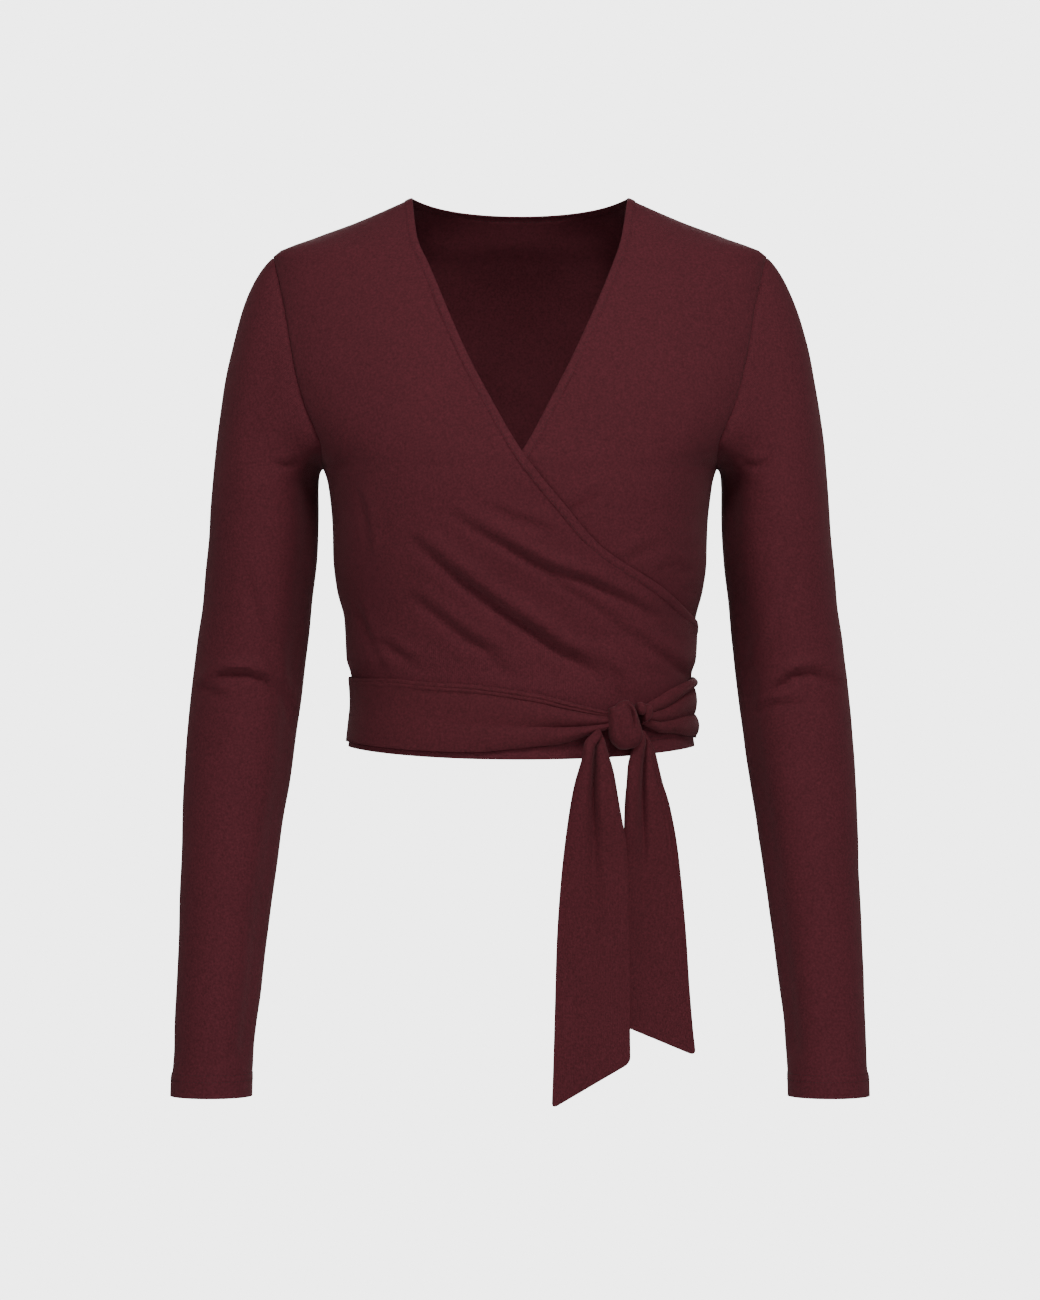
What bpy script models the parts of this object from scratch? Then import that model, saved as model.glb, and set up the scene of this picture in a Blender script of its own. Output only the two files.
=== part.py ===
"""Wrap top: a cropped, long-sleeved jersey top with a crossed V neck and a knotted sash.

The origin is midway between the two points where the neck edge meets the shoulder seams, where
the wearer's shoulders hold it. +Z is up, the front faces -Y and the wearer's left is at +X.
Sizes below are in millimetres. A "drop" is how far a point lies below the origin, and a "turn"
is how far it lies round the torso: 0 at the centre of the front or back, 90 degrees at the side.
"""

import math

import bpy
import numpy as np

MM = 0.001

# ---- Driving sizes ----
JERSEY_WALL = 1.0
BAND_WALL = 1.2
SASH_WALL = 1.6
SEAM_GAP = 0.4
BAND_WIDTH = 6.5
FULLNESS = 0.15          # how much fuller than an ellipse a torso section is
LAYER_STEP = 2.1         # from the middle of the under front to the middle of the over front
HIDDEN_EASE = 5.0        # how much further in the under front lies where nobody sees it
SHOULDER_DROP = 43.5     # where the shoulder seam meets the sleeve
UNDERARM_DROP = 200.0
SASH_DROP = 380.0        # the middle of the sash
SASH_TOP = 350.0
SASH_FLATTENS = 15.0     # how far below its top edge the sash has pressed the folds flat
HEM_FADE_START = 330.0   # where the rows begin to bend towards the hem
BACK_NECK_DIP = 8.5
HEM_DIP = 8.0            # how much lower the front hem hangs at its centre
HEM_BACK_DIP = 3.0
CAP_LEAVING = (0.75, 0.0, -0.66)     # the way the sleeve leaves the shoulder point
CAP_ARRIVING = (0.07, 0.0, -1.0)     # the way it comes to the upper arm
UNDERARM_LEAVING = (0.9, 0.0, -0.35)
CAP_FORWARD = 0.35       # how much the front and the back of the cap swell to their own side
CAP_START = 1.35         # from the armhole seam to the cap's first row
CAP_NIP = 0.3            # how much further that is at the underarm
CAP_REACH = 0.9          # how far both ways reach, as a share of the cap's length
CAP_CROWN_EASE = 0.22    # how much less the first reaches at the shoulder point
FRONT, BACK = -1, 1

# ---- How fine the walls are ----
SLEEVE_SEGMENTS = 14
CAP_ROWS = 7
OVER_COLUMNS = 18
UNDER_COLUMNS = 14
BACK_COLUMNS = 14
SLEEVE_ROWS = (215, 248, 280, 310, 335, 346, 357, 370, 390, 425, 470, 515, 560, 605, 641, 646, 660)
BACK_ROWS = (2.7, 12, 27, 43.5, 75, 110, 145, 172, 200, 235, 275, 315, 350, 365, 380, 393, 407)


class Table:
    """Rows of sizes under named columns, read between the rows along a smooth curve."""

    def __init__(self, columns, rows):
        self.columns = columns.split()
        self.rows = np.array(rows, float)

    def read(self, column, at):
        """The named column where the first column is `at`, with no overshoot between rows."""
        return smooth(self.rows[:, 0], self.rows[:, self.columns.index(column)], at)

    def column(self, name):
        """The named column as it stands."""
        return self.rows[:, self.columns.index(name)]


TORSO = Table("drop half_width front_depth back_depth", (
    (0.0, 79.5, 14, 45),
    (10.0, 101.0, 22, 58),
    (20.0, 124.6, 30, 65),
    (30.0, 151.6, 38, 70),
    (43.5, 182.0, 48, 78),
    (70.0, 186.6, 64, 89),
    (100.0, 187.0, 78, 96),
    (130.0, 183.0, 92, 99),
    (160.0, 172.0, 103, 100),
    (185.0, 156.0, 111, 99),
    (200.0, 145.0, 115, 98),
    (212.0, 141.4, 116, 97),
    (240.0, 138.4, 114, 93),
    (268.0, 137.4, 109, 89),
    (290.0, 134.6, 104, 87),
    (312.0, 129.2, 100, 85),
    (340.0, 127.8, 96, 84),
    (352.0, 124.4, 95, 84),
    (372.0, 123.2, 95, 85),
    (390.0, 124.8, 96, 88),
    (412.0, 127.4, 97, 92),
))

ARMHOLE = Table("drop x", (
    (43.5, 182.0), (60.0, 178.4), (83.0, 173.0), (114.0, 167.5), (135.0, 163.0),
    (157.0, 156.5), (172.0, 150.0), (187.0, 145.0), (200.0, 145.0),
))

NECK_EDGE = Table("drop over_x under_x", (
    (0.0, -79.5, 79.5),
    (32.0, -75.3, 74.1),
    (54.0, -66.1, 66.9),
    (118.0, -39.1, 39.6),
    (147.0, -24.3, 25.2),
    (192.0, 1.5, 0.8),
    (230.0, 31.9, -31.5),
    (259.0, 57.3, -57.0),
    (290.0, 103.9, -103.9),
    (312.0, 127.9, -127.9),
))
NECK_EDGE_END = 316.0    # where the crossed edge reaches the side seam
HIDDEN_TURN = 84.0       # how far round the under front reaches where the over front hides it
BAND_SHORT = 0.07        # how much less far round its binding reaches, in radians

# Rows of the fronts: the drop of each at its own seam and at its neck edge. The rows tilt with
# the edge where it crosses the waist.
OVER_ROWS = Table("seam edge", (
    (3.4, 3.4), (12, 12), (27, 27), (43.5, 45), (68, 70), (98, 100), (128, 130), (155, 157),
    (180, 182), (200, 202), (213, 216), (225, 230), (237, 243), (249, 255), (260, 266),
    (271, 276), (281, 285), (290, 293), (298, 300), (305, 306), (312, 311), (319, 315.5),
    (326, 319.5), (334, 324), (342, 336), (352, 350), (362, 362), (376, 376), (393, 393),
    (413, 413),
))
UNDER_ROWS = Table("seam edge", (
    (3.4, 3.4), (12, 12), (27, 27), (43.5, 45), (68, 70), (95, 97), (120, 122), (145, 147),
    (168, 170), (190, 193), (210, 215), (232, 237), (252, 257), (270, 274), (287, 290),
    (303, 304), (320, 318), (340, 340), (375, 375), (411, 411),
))

SLEEVE = Table("drop centre_x half_width centre_y half_depth", (
    (215.0, 188.3, 39.0, 2, 50),
    (240.0, 189.2, 40.3, 3, 49),
    (268.0, 191.0, 40.6, 4, 47.5),
    (300.0, 194.0, 40.1, 5, 46),
    (330.0, 198.0, 40.8, 5, 44.5),
    (357.0, 201.3, 40.8, 4, 43),
    (401.0, 205.8, 40.3, 0, 41),
    (431.0, 208.5, 39.0, -4, 39.5),
    (460.0, 211.3, 37.0, -8, 38),
    (490.0, 214.0, 35.4, -13, 36.5),
    (520.0, 216.7, 33.8, -18, 35),
    (549.0, 218.7, 32.3, -22, 33.5),
    (579.0, 220.8, 31.2, -27, 32),
    (608.0, 223.2, 29.7, -31, 30.5),
    (641.0, 225.0, 28.8, -36, 29.5),
    (646.0, 225.5, 29.6, -37, 30),
    (660.0, 225.9, 29.6, -38.5, 30),
))
# Each fold: how deep its valley is, how wide, how high the crest above it, and its line as
# (x, drop) points. Folds of the fronts spread from the knot, folds of the sleeves lie at the elbow.
FRONT_FOLDS = (
    dict(depth=1.4, width=8, crest=0.6, line=((-30, 229), (1, 242), (30, 251))),
    dict(depth=3.0, width=9, crest=1.6, line=((-58, 232), (-9, 261), (41, 283), (85, 303), (104, 316))),
    dict(depth=3.4, width=10, crest=1.8, line=((-86, 248), (-49, 279), (11, 323), (58, 355), (72, 368))),
    dict(depth=2.2, width=9, crest=1.0, line=((-90, 286), (-59, 310), (-24, 335), (4, 357))),
    dict(depth=1.2, width=8, crest=0.5, line=((-108, 323), (-87, 337), (-70, 350))),
    dict(depth=1.6, width=8, crest=0.7, line=((78, 323), (99, 336), (120, 350))),
)
SLEEVE_RIGHT_FOLDS = (
    dict(depth=2.6, width=7, crest=1.6, line=((-231, 362), (-210, 352), (-190, 355), (-176, 369))),
    dict(depth=1.4, width=7, crest=0.8, line=((-236, 366), (-222, 367))),
)
SLEEVE_LEFT_FOLDS = (
    dict(depth=2.4, width=7, crest=1.4, line=((182, 367), (202, 352), (222, 354), (236, 361))),
    dict(depth=1.4, width=7, crest=0.8, line=((174, 378), (183, 374), (202, 372))),
)

# The sash between the right side and the knot: its edges, its valley, how its folds swell and
# how far it rises to meet the knot.
SASH_RIGHT = Table("x top valley bottom swell rise", (
    (-127.0, 354.5, 378.0, 401.0, 0.0, 0.0),
    (-96.0, 354.8, 381.0, 404.6, 0.0, 0.0),
    (-67.0, 357.6, 384.0, 406.8, 0.3, 0.0),
    (-34.0, 359.7, 388.0, 407.6, 1.0, 0.0),
    (-7.0, 363.3, 389.4, 405.2, 2.0, 0.0),
    (15.0, 366.9, 389.6, 402.9, 3.0, 0.3),
    (28.0, 370.5, 389.8, 400.7, 3.6, 1.0),
    (46.0, 375.5, 388.6, 393.0, 2.6, 2.6),
    (57.6, 379.6, 386.6, 389.4, 2.0, 4.6),
))
# The sash between the knot and the left side lies in three folds, one over the next.
SASH_LEFT = Table("x top first second bottom swell rise", (
    (90.2, 372.2, 380.0, 386.0, 391.0, 1.6, 3.4),
    (98.0, 367.9, 378.0, 386.6, 394.0, 2.8, 0.8),
    (106.0, 362.8, 373.8, 385.3, 394.3, 3.0, 0.2),
    (117.0, 357.6, 365.4, 382.8, 396.8, 2.8, 0.0),
    (126.0, 353.4, 359.2, 381.8, 397.4, 2.6, 0.0),
))
SASH_BACK_TOP = 353.5
SASH_BACK_HEIGHT = 46.0

# The two bundles of the knot: where each sits, its size, and how much its foot leans to the left
# side. The share of the surface's turn that each follows is its swing.
KNOT = dict(x=69.0, drop=388.7, half_width=11.6, half_height=18.2, half_depth=9.0, lean=0.06, swing=0.8)
KNOT_LOOP = dict(x=82.4, drop=381.0, half_width=4.2, half_height=7.8, half_depth=6.0, lean=0.0, swing=1.0)

# The free ends: x and y of both edges at each drop, and how deep the pleat between them is.
TAIL_FRONT = Table("drop x_left x_right y_left y_right pleat", (
    (393.6, 48.2, 60.6, -101.2, -98.8, 1.0),
    (400.0, 46.4, 61.6, -100.2, -98.6, 2.2),
    (409.0, 44.6, 63.0, -99.6, -98.0, 3.2),
    (421.0, 42.0, 66.5, -99.6, -98.0, 4.0),
    (441.0, 38.4, 72.0, -99.6, -98.0, 4.2),
    (470.0, 33.4, 76.4, -99.4, -98.0, 2.8),
    (500.0, 30.0, 77.8, -99.2, -98.0, 1.2),
    (541.0, 27.2, 78.5, -99.0, -98.0, 0.6),
    (590.0, 25.6, 79.0, -99.0, -98.0, 0.4),
    (647.5, 22.9, 79.4, -99.0, -98.0, 0.3),
))
TAIL_BACK = Table("drop x_left x_right y_left y_right pleat", (
    (390.0, 85.2, 89.2, -92.4, -89.4, 0.4),
    (402.0, 84.0, 93.8, -92.2, -86.4, 1.0),
    (411.0, 79.6, 98.0, -91.2, -82.4, 2.0),
    (421.0, 77.6, 101.2, -90.4, -80.0, 3.0),
    (442.0, 76.0, 105.6, -91.0, -78.6, 3.4),
    (473.0, 74.8, 112.6, -91.4, -76.4, 2.4),
    (501.0, 74.4, 116.4, -91.6, -75.0, 1.2),
    (540.0, 74.6, 120.0, -91.8, -74.0, 0.6),
    (578.0, 75.4, 122.6, -91.8, -73.4, 0.4),
    (617.0, 76.0, 126.8, -91.8, -72.0, 0.3),
))
TAIL_COLUMNS = 8
TAIL_SLANT_START = 560.0
TAIL_FRONT_SLANT = -33.0     # the right corner is this much lower than the left
TAIL_BACK_SLANT = 23.0

# ---- Finishes: linear colour, roughness ----
JERSEY = dict(colour=(0.086, 0.019, 0.025), roughness=0.85)
SASH_JERSEY = dict(colour=(0.073, 0.016, 0.021), roughness=0.85)
BINDING = dict(colour=(0.080, 0.018, 0.023), roughness=0.8)


def smooth(keys, values, at):
    """A curve through (keys, values) that never overshoots them, read at each of `at`."""
    keys = np.asarray(keys, float)
    values = np.asarray(values, float)
    at = np.clip(np.asarray(at, float), keys[0], keys[-1])
    span = np.diff(keys)
    slope = np.diff(values) / span
    product = slope[:-1] * slope[1:]
    total = np.where(product > 0, slope[:-1] + slope[1:], 1.0)
    tangent = np.concatenate(([slope[0]], np.where(product > 0, 2 * product / total, 0), [slope[-1]]))
    k = np.clip(np.searchsorted(keys, at, side="right") - 1, 0, len(span) - 1)
    t = (at - keys[k]) / span[k]
    return ((1 + 2 * t) * (1 - t) ** 2 * values[k] + t * (1 - t) ** 2 * span[k] * tangent[k]
            + t * t * (3 - 2 * t) * values[k + 1] - t * t * (1 - t) * span[k] * tangent[k + 1])


def ease(t):
    """0 below 0, 1 above 1 and a smooth step between."""
    t = np.clip(t, 0.0, 1.0)
    return t * t * (3 - 2 * t)


def unit(vectors):
    """Each vector at length one."""
    return vectors / np.maximum(np.linalg.norm(vectors, axis=-1, keepdims=True), 1e-9)


# ---- The torso's form ----

def round_x(turn):
    """Share of the half width at a turn."""
    return np.sin(turn) * (1 + FULLNESS * np.cos(turn) ** 2)


def round_y(turn):
    """Share of the depth at a turn."""
    return np.cos(turn) * (1 + FULLNESS * np.sin(turn) ** 2)


QUARTER = np.linspace(-math.pi / 2, math.pi / 2, 721)
QUARTER_ANGLE = np.arctan2(round_x(QUARTER), round_y(QUARTER))


def form(turn, drop, face):
    """Point of the torso's form, on the front or the back."""
    depth = TORSO.read("front_depth" if face == FRONT else "back_depth", drop)
    return np.stack((TORSO.read("half_width", drop) * round_x(turn),
                     face * depth * round_y(turn), -np.asarray(drop, float)), axis=-1)


def form_normal(turn, drop, face):
    """Outward direction of the torso's form."""
    turn, drop = np.broadcast_arrays(np.asarray(turn, float), np.asarray(drop, float))
    step = 1e-3
    along = form(turn + step, drop, face) - form(turn - step, drop, face)
    down = form(turn, drop + 0.4, face) - form(turn, np.maximum(drop - 0.4, 0), face)
    normal = unit(np.cross(along, down))
    outward = np.sum(normal * form(turn, drop, face), axis=-1, keepdims=True)
    return np.where(outward < 0, -normal, normal)


def turn_at_x(x, drop):
    """The turn whose point stands at x."""
    share = np.clip(np.asarray(x, float) / TORSO.read("half_width", drop), -1, 1)
    return np.interp(share, round_x(QUARTER), QUARTER)


def turn_of(points, face):
    """The turns of points on the form."""
    drop = -points[..., 2]
    depth = TORSO.read("front_depth" if face == FRONT else "back_depth", drop)
    angle = np.arctan2(points[..., 0] / TORSO.read("half_width", drop), face * points[..., 1] / depth)
    return np.interp(angle, QUARTER_ANGLE, QUARTER)


def seam_turn(drop, face, gap=SEAM_GAP / 2):
    """The turn of the seam beside a panel: shoulder, armhole, then side seam, less half the gap."""
    drop = np.asarray(drop, float)
    armhole = turn_at_x(ARMHOLE.read("x", drop), drop)
    at_armhole = (drop > SHOULDER_DROP) & (drop < UNDERARM_DROP)
    turn = np.where(at_armhole, armhole, math.pi / 2)
    pace = np.linalg.norm(form(turn + 1e-3, drop, face) - form(turn - 1e-3, drop, face), axis=-1) / 2e-3
    return turn - gap / np.maximum(pace, 5.0)


# ---- Folds ----

def fold_line(points, count=32):
    """A smooth line through a fold's points."""
    points = np.array(points, float)
    steps = np.concatenate(([0.0], np.cumsum(np.linalg.norm(np.diff(points, axis=0), axis=1))))
    at = np.linspace(0, steps[-1], count)
    return np.stack((smooth(steps, points[:, 0], at), smooth(steps, points[:, 1], at)), axis=-1)


def folds_at(x, drop, folds):
    """How far the folds move the cloth out (+) or in (-) at points given by x and drop."""
    here = np.stack((x, drop), axis=-1)[..., None, :]
    total = np.zeros(np.shape(x))
    for fold in folds:
        line = fold_line(fold["line"])
        start, step = line[:-1], np.diff(line, axis=0)
        share = np.clip(np.sum((here - start) * step, -1) / np.sum(step * step, -1), 0, 1)
        away = here - (start + share[..., None] * step)
        gap = np.linalg.norm(away, axis=-1)
        near = np.argmin(gap, axis=-1)[..., None]
        along = (near[..., 0] + np.take_along_axis(share, near, -1)[..., 0]) / len(step)
        side = np.take_along_axis(step[:, 0] * away[..., 1] - step[:, 1] * away[..., 0], near, -1)[..., 0]
        offset = -np.take_along_axis(gap, near, -1)[..., 0] * np.sign(side)
        width = fold["width"]
        valley = fold["depth"] * np.exp(-(offset / width) ** 2)
        crest = fold["crest"] * np.exp(-((offset - 1.7 * width) / width) ** 2)
        total += np.sin(math.pi * np.clip(along, 0.0, 1.0)) ** 0.7 * (crest - valley)
    return total


# ---- Building cloth ----

def finish(name, colour, roughness):
    """A plain cloth material."""
    material = bpy.data.materials.new(name)
    material.use_nodes = True
    shader = material.node_tree.nodes["Principled BSDF"]
    shader.inputs["Base Color"].default_value = (*colour, 1.0)
    shader.inputs["Roughness"].default_value = roughness
    shader.inputs["Metallic"].default_value = 0.0
    return material


def place(name, points, faces, look):
    """A named object with its own material, from points in millimetres."""
    mesh = bpy.data.meshes.new(name)
    mesh.from_pydata((np.asarray(points).reshape(-1, 3) * MM).tolist(), [], faces)
    mesh.materials.append(finish(name + "_cloth", **look))
    mesh.shade_smooth()
    piece = bpy.data.objects.new(name, mesh)
    bpy.context.collection.objects.link(piece)
    return piece


def grid_faces(rows, columns, ring=False):
    """Quads of a grid, closed round its columns if it is a ring."""
    reach = columns if ring else columns - 1
    return [(r * columns + c, r * columns + (c + 1) % columns,
             (r + 1) * columns + (c + 1) % columns, (r + 1) * columns + c)
            for r in range(rows - 1) for c in range(reach)]


def sheet(name, grid, wall, look, ring=False):
    """A cloth piece: a grid of points given a wall, half to each side."""
    piece = place(name, grid, grid_faces(grid.shape[0], grid.shape[1], ring), look)
    walls = piece.modifiers.new("wall", "SOLIDIFY")
    walls.thickness = wall * MM
    walls.offset = 0.0
    walls.use_even_offset = True
    return piece


# ---- Neck edges and their bindings ----

def neck_edge(column, side):
    """The free edge of a front, from the shoulder to the far side seam, as turns and drops."""
    drops = np.linspace(0.0, NECK_EDGE_END, 90)
    reach = NECK_EDGE.rows[-1, 0]
    turns = turn_at_x(NECK_EDGE.read(column, drops), drops)
    last = turn_at_x(NECK_EDGE.read(column, reach), reach)
    rest = np.clip((drops - reach) / (NECK_EDGE_END - reach), 0, 1)
    turns = np.where(drops > reach, last + rest * (side * math.pi / 2 - last), turns)
    turns[0] = -side * math.pi / 2
    return turns, drops


def inset(turns, drops, face, distance, inward):
    """A line on the form moved over it by a distance, to the side that `inward` points to."""
    points = form(turns, drops, face)
    along = unit(np.gradient(points, axis=0))
    sideways = unit(np.cross(along, form_normal(turns, drops, face)))
    sideways *= np.sign(np.sum(sideways * np.asarray(inward, float), axis=-1, keepdims=True))
    moved = points + distance * sideways
    moved[:, 2] = np.minimum(moved[:, 2], -0.2)
    return turn_of(moved, face), -moved[:, 2]


def over_lift(turn):
    """The over front rises from the back's level at its own side seam to one layer above it."""
    return LAYER_STEP * (turn + math.pi / 2) / math.pi


def under_lift(turn, drop):
    """The under front lies one layer beneath the over front, and further in where it is hidden."""
    edge_turns, edge_drops = neck_edge("over_x", 1)
    lap = drop - np.interp(turn, edge_turns, edge_drops)
    return over_lift(turn) - LAYER_STEP - HIDDEN_EASE * ease((lap - 3) / 24)


def lifted(turn, drop, face, lift):
    """Points of the form moved out."""
    return form(turn, drop, face) + np.asarray(lift)[..., None] * form_normal(turn, drop, face)


class NeckLine:
    """A front's neck edge: its free edge, its binding's inner edge and the panel's raw edge."""

    def __init__(self, column, side):
        inward = (-side, 0, -1)
        self.side = side
        self.free = neck_edge(column, side)
        self.inner = inset(*self.free, FRONT, BAND_WIDTH, inward)
        self.raw = inset(*self.free, FRONT, BAND_WIDTH + SEAM_GAP, inward)

    def raw_turn(self, drops):
        """The turn of the panel's raw edge at each drop, up to the side seam."""
        limit = seam_turn(drops, FRONT)
        edge = np.interp(drops, self.raw[1], self.raw[0], right=self.side * math.pi / 2)
        return np.clip(edge, -limit, limit)

    def band(self, drops, stop):
        """Turns and drops of the binding's two edges beside the panel's rows, as far as a turn."""
        steps = np.arange(len(self.free[0]))
        beside = np.interp(drops[drops < self.raw[1][-1]], self.raw[1], steps)
        last = np.interp(stop, self.side * self.free[0], steps)
        at = np.concatenate(([0.0], beside[beside < last - 0.5], [last]))
        lines = [np.stack([np.interp(at, steps, line[k]) for line in (self.free, self.inner)], 1)
                 for k in (0, 1)]
        limit = seam_turn(lines[1], FRONT)
        return np.clip(lines[0], -limit, limit), np.maximum(lines[1], SEAM_GAP / 2)


# ---- Panels and bindings ----

def front(name, band_name, line, rows, columns, reach, band_short, lift_of):
    """A front from its own side seam to its neck edge, and the binding along that edge."""
    seam, edge = rows.column("seam"), rows.column("edge")
    far = line.side * np.minimum(line.side * line.raw_turn(edge), reach)
    near = -line.side * seam_turn(seam, FRONT)
    share = np.linspace(0, 1, columns + 1)
    turn = near[:, None] * (1 - share) + far[:, None] * share
    drop = seam[:, None] * (1 - share) + edge[:, None] * share
    fade = ease((drop - HEM_FADE_START) / (seam[-1] - HEM_FADE_START))
    drop = drop + fade * HEM_DIP * (np.cos(turn) ** 2 - 1)
    sheet(name, lifted(turn, drop, FRONT, lift_of(turn, drop)), JERSEY_WALL, JERSEY)
    turn, drop = line.band(edge, reach - band_short)
    sheet(band_name, lifted(turn, drop, FRONT, lift_of(turn, drop, folds=False)), BAND_WALL, BINDING)


def over_level(turn, drop, folds=True):
    """The over front's level, with its folds, which lie flat beneath the sash."""
    if not folds:
        return over_lift(turn)
    x = form(turn, drop, FRONT)[..., 0]
    return over_lift(turn) + (1 - ease((drop - SASH_TOP) / SASH_FLATTENS)) * folds_at(x, drop, FRONT_FOLDS)


def under_level(turn, drop, folds=True):
    """The under front's level."""
    return under_lift(turn, drop)


def back():
    """The back, from shoulder seams and neck binding to the hem, and the binding above it."""
    rows = np.array(BACK_ROWS, float)
    limit = seam_turn(rows, BACK)
    turn = np.linspace(-limit, limit, BACK_COLUMNS + 1, axis=1)
    edge = np.linspace(-math.pi / 2, math.pi / 2, 91)
    dip = BACK_NECK_DIP * np.cos(edge) ** 3
    raw = inset(edge, dip, BACK, BAND_WIDTH + SEAM_GAP, (0, 0, -1))
    inner = inset(edge, dip, BACK, BAND_WIDTH, (0, 0, -1))
    top = np.maximum(np.interp(turn, *raw) - rows[0], 0)
    drop = rows[:, None] + top * (1 - ease(rows / 60))[:, None]
    fade = ease((drop - HEM_FADE_START) / (rows[-1] - HEM_FADE_START))
    drop += fade * HEM_BACK_DIP * (np.cos(turn) ** 2 - 1)
    sheet("back_panel", form(turn, drop, BACK), JERSEY_WALL, JERSEY)
    steps = np.arange(len(edge))
    at = np.interp(turn[0], raw[0], steps)
    at[[0, -1]] = steps[[0, -1]]
    turns = np.stack([np.interp(at, steps, line) for line in (edge, inner[0])], 1)
    drops = np.stack([np.interp(at, steps, line) for line in (dip, inner[1])], 1)
    end = seam_turn(drops, BACK, SEAM_GAP)
    sheet("neck_band_back", form(np.clip(turns, -end, end), drops, BACK), BAND_WALL, BINDING)


# ---- Sleeves ----

def armhole_loop(thetas):
    """Points round the left armhole and the way the sleeve leaves it, from the shoulder point
    down the front to the underarm and up the back."""
    drops = np.linspace(SHOULDER_DROP + 0.01, UNDERARM_DROP - 0.01, 120)
    points, leaving = [], []
    for face, share in ((FRONT, thetas / math.pi), (BACK, 2 - thetas / math.pi)):
        turns = seam_turn(drops, face, 0.0)
        line = form(turns, drops, face)
        steps = np.concatenate(([0.0], np.cumsum(np.linalg.norm(np.diff(line, axis=0), axis=1))))
        at = np.clip(share, 0, 1) * steps[-1]
        out = unit(np.cross(np.gradient(line, axis=0), form_normal(turns, drops, face)))
        out *= np.sign(out[:, :1] + 1e-6)
        points.append(np.stack([np.interp(at, steps, line[:, k]) for k in range(3)], -1))
        leaving.append(np.stack([np.interp(at, steps, out[:, k]) for k in range(3)], -1))
    on_front = (thetas <= math.pi)[:, None]
    return np.where(on_front, *points), np.where(on_front, *leaving)


def sleeve_ring(thetas, drop):
    """Points round the sleeve at one drop: outer side, front, inner side, back."""
    return np.stack((SLEEVE.read("centre_x", drop) + SLEEVE.read("half_width", drop) * np.cos(thetas),
                     SLEEVE.read("centre_y", drop) - SLEEVE.read("half_depth", drop) * np.sin(thetas),
                     np.full(len(thetas), -float(drop))), axis=-1)


def sleeve(name, side, folds):
    """A sleeve: a cap curved from the armhole to the upper arm, then a tapering tube."""
    thetas = np.arange(SLEEVE_SEGMENTS) * 2 * math.pi / SLEEVE_SEGMENTS
    start, leaving = armhole_loop(thetas)
    end = sleeve_ring(thetas, SLEEVE_ROWS[0])
    follow = (np.cos(thetas / 2) ** 2)[:, None]
    forward = -np.sin(thetas)[:, None] * np.array((0.0, CAP_FORWARD, 0.0))
    leaving = unit(follow * leaving + (1 - follow) * (np.array(UNDERARM_LEAVING) + forward))
    crown = ease((np.cos(thetas) - 0.1) / 0.9)[:, None]
    leaving = unit(crown * (np.array(CAP_LEAVING) + forward) + (1 - crown) * leaving)
    reach = CAP_REACH - CAP_CROWN_EASE * crown
    nip = ease((-np.cos(thetas) - 0.2) / 0.8)[:, None]
    start = start + leaving * (CAP_START + CAP_NIP * nip)
    length = np.linalg.norm(end - start, axis=1, keepdims=True)
    rows = []
    for t in np.linspace(0, 1, CAP_ROWS + 1)[:-1]:
        rows.append((1 + 2 * t) * (1 - t) ** 2 * start + t * (1 - t) ** 2 * reach * length * leaving
                    + t * t * (3 - 2 * t) * end
                    - t * t * (1 - t) * CAP_REACH * length * np.array(CAP_ARRIVING))
    rows += [sleeve_ring(thetas, drop) for drop in SLEEVE_ROWS]
    grid = np.array(rows)
    facing = np.clip(np.sin(thetas), 0, 1) ** 0.5
    push = folds_at(side * grid[..., 0], -grid[..., 2], folds) * facing
    grid[..., 0] += push * np.cos(thetas)
    grid[..., 1] -= push * np.sin(thetas)
    grid[..., 0] *= side
    return sheet(name, grid, JERSEY_WALL, JERSEY, ring=True)


# ---- Sash, knot and free ends ----

COLUMN_MARGIN = 0.03     # no column stands closer than this to a stretch's end, in radians
SASH_REST = JERSEY_WALL / 2 + SEAM_GAP + 0.25 + SASH_WALL / 2


def sash_front(name, table, lines, per_fold, first=None, last=None):
    """A stretch of the sash on the front, whose folds lie between the table's lines. Its columns
    stand on those of the panel beneath, with one more between each two where the folds swell."""
    xs = table.column("x")
    ends = turn_at_x(xs[[0, -1]], SASH_DROP)
    first = ends[0] if first is None else first
    last = ends[1] if last is None else last
    limit = seam_turn(SASH_DROP, FRONT)
    panel = np.linspace(-limit, limit, 2 * OVER_COLUMNS + 1)
    at_panel = TORSO.read("half_width", SASH_DROP) * round_x(panel)
    swells = table.read("swell", at_panel) > 1.0
    inside = (panel > first + COLUMN_MARGIN) & (panel < last - COLUMN_MARGIN)
    inside &= swells | (np.arange(len(panel)) % 2 == 0)
    turn_line = np.concatenate(([first], panel[inside], [last]))
    at_x = np.clip(TORSO.read("half_width", SASH_DROP) * round_x(turn_line), xs[0], xs[-1])
    edges = np.stack([table.read(line, at_x) for line in lines])
    folds = len(lines) - 1
    share = np.linspace(0, folds, folds * per_fold + 1)
    low = np.minimum(share.astype(int), folds - 1)
    part = (share - low)[:, None]
    drop = edges[low] * (1 - part) + edges[low + 1] * part
    turn = np.broadcast_to(turn_line, drop.shape)
    swell = table.read("rise", at_x) + table.read("swell", at_x) * np.abs(np.sin(math.pi * part)) ** 0.8
    return sheet(name, lifted(turn, drop, FRONT, SASH_REST + over_lift(turn) + swell),
                 SASH_WALL, SASH_JERSEY)


def sash_back():
    """The stretch of the sash across the back."""
    limit = seam_turn(SASH_DROP, BACK)
    turn, share = np.meshgrid(np.linspace(-limit, limit, BACK_COLUMNS + 1), np.linspace(0, 1, 4))
    drop = SASH_BACK_TOP + share * SASH_BACK_HEIGHT
    lift = SASH_REST + LAYER_STEP * ease((turn / limit - 0.4) / 0.6)
    return sheet("sash_back", lifted(turn, drop, BACK, lift), SASH_WALL, SASH_JERSEY)


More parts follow.
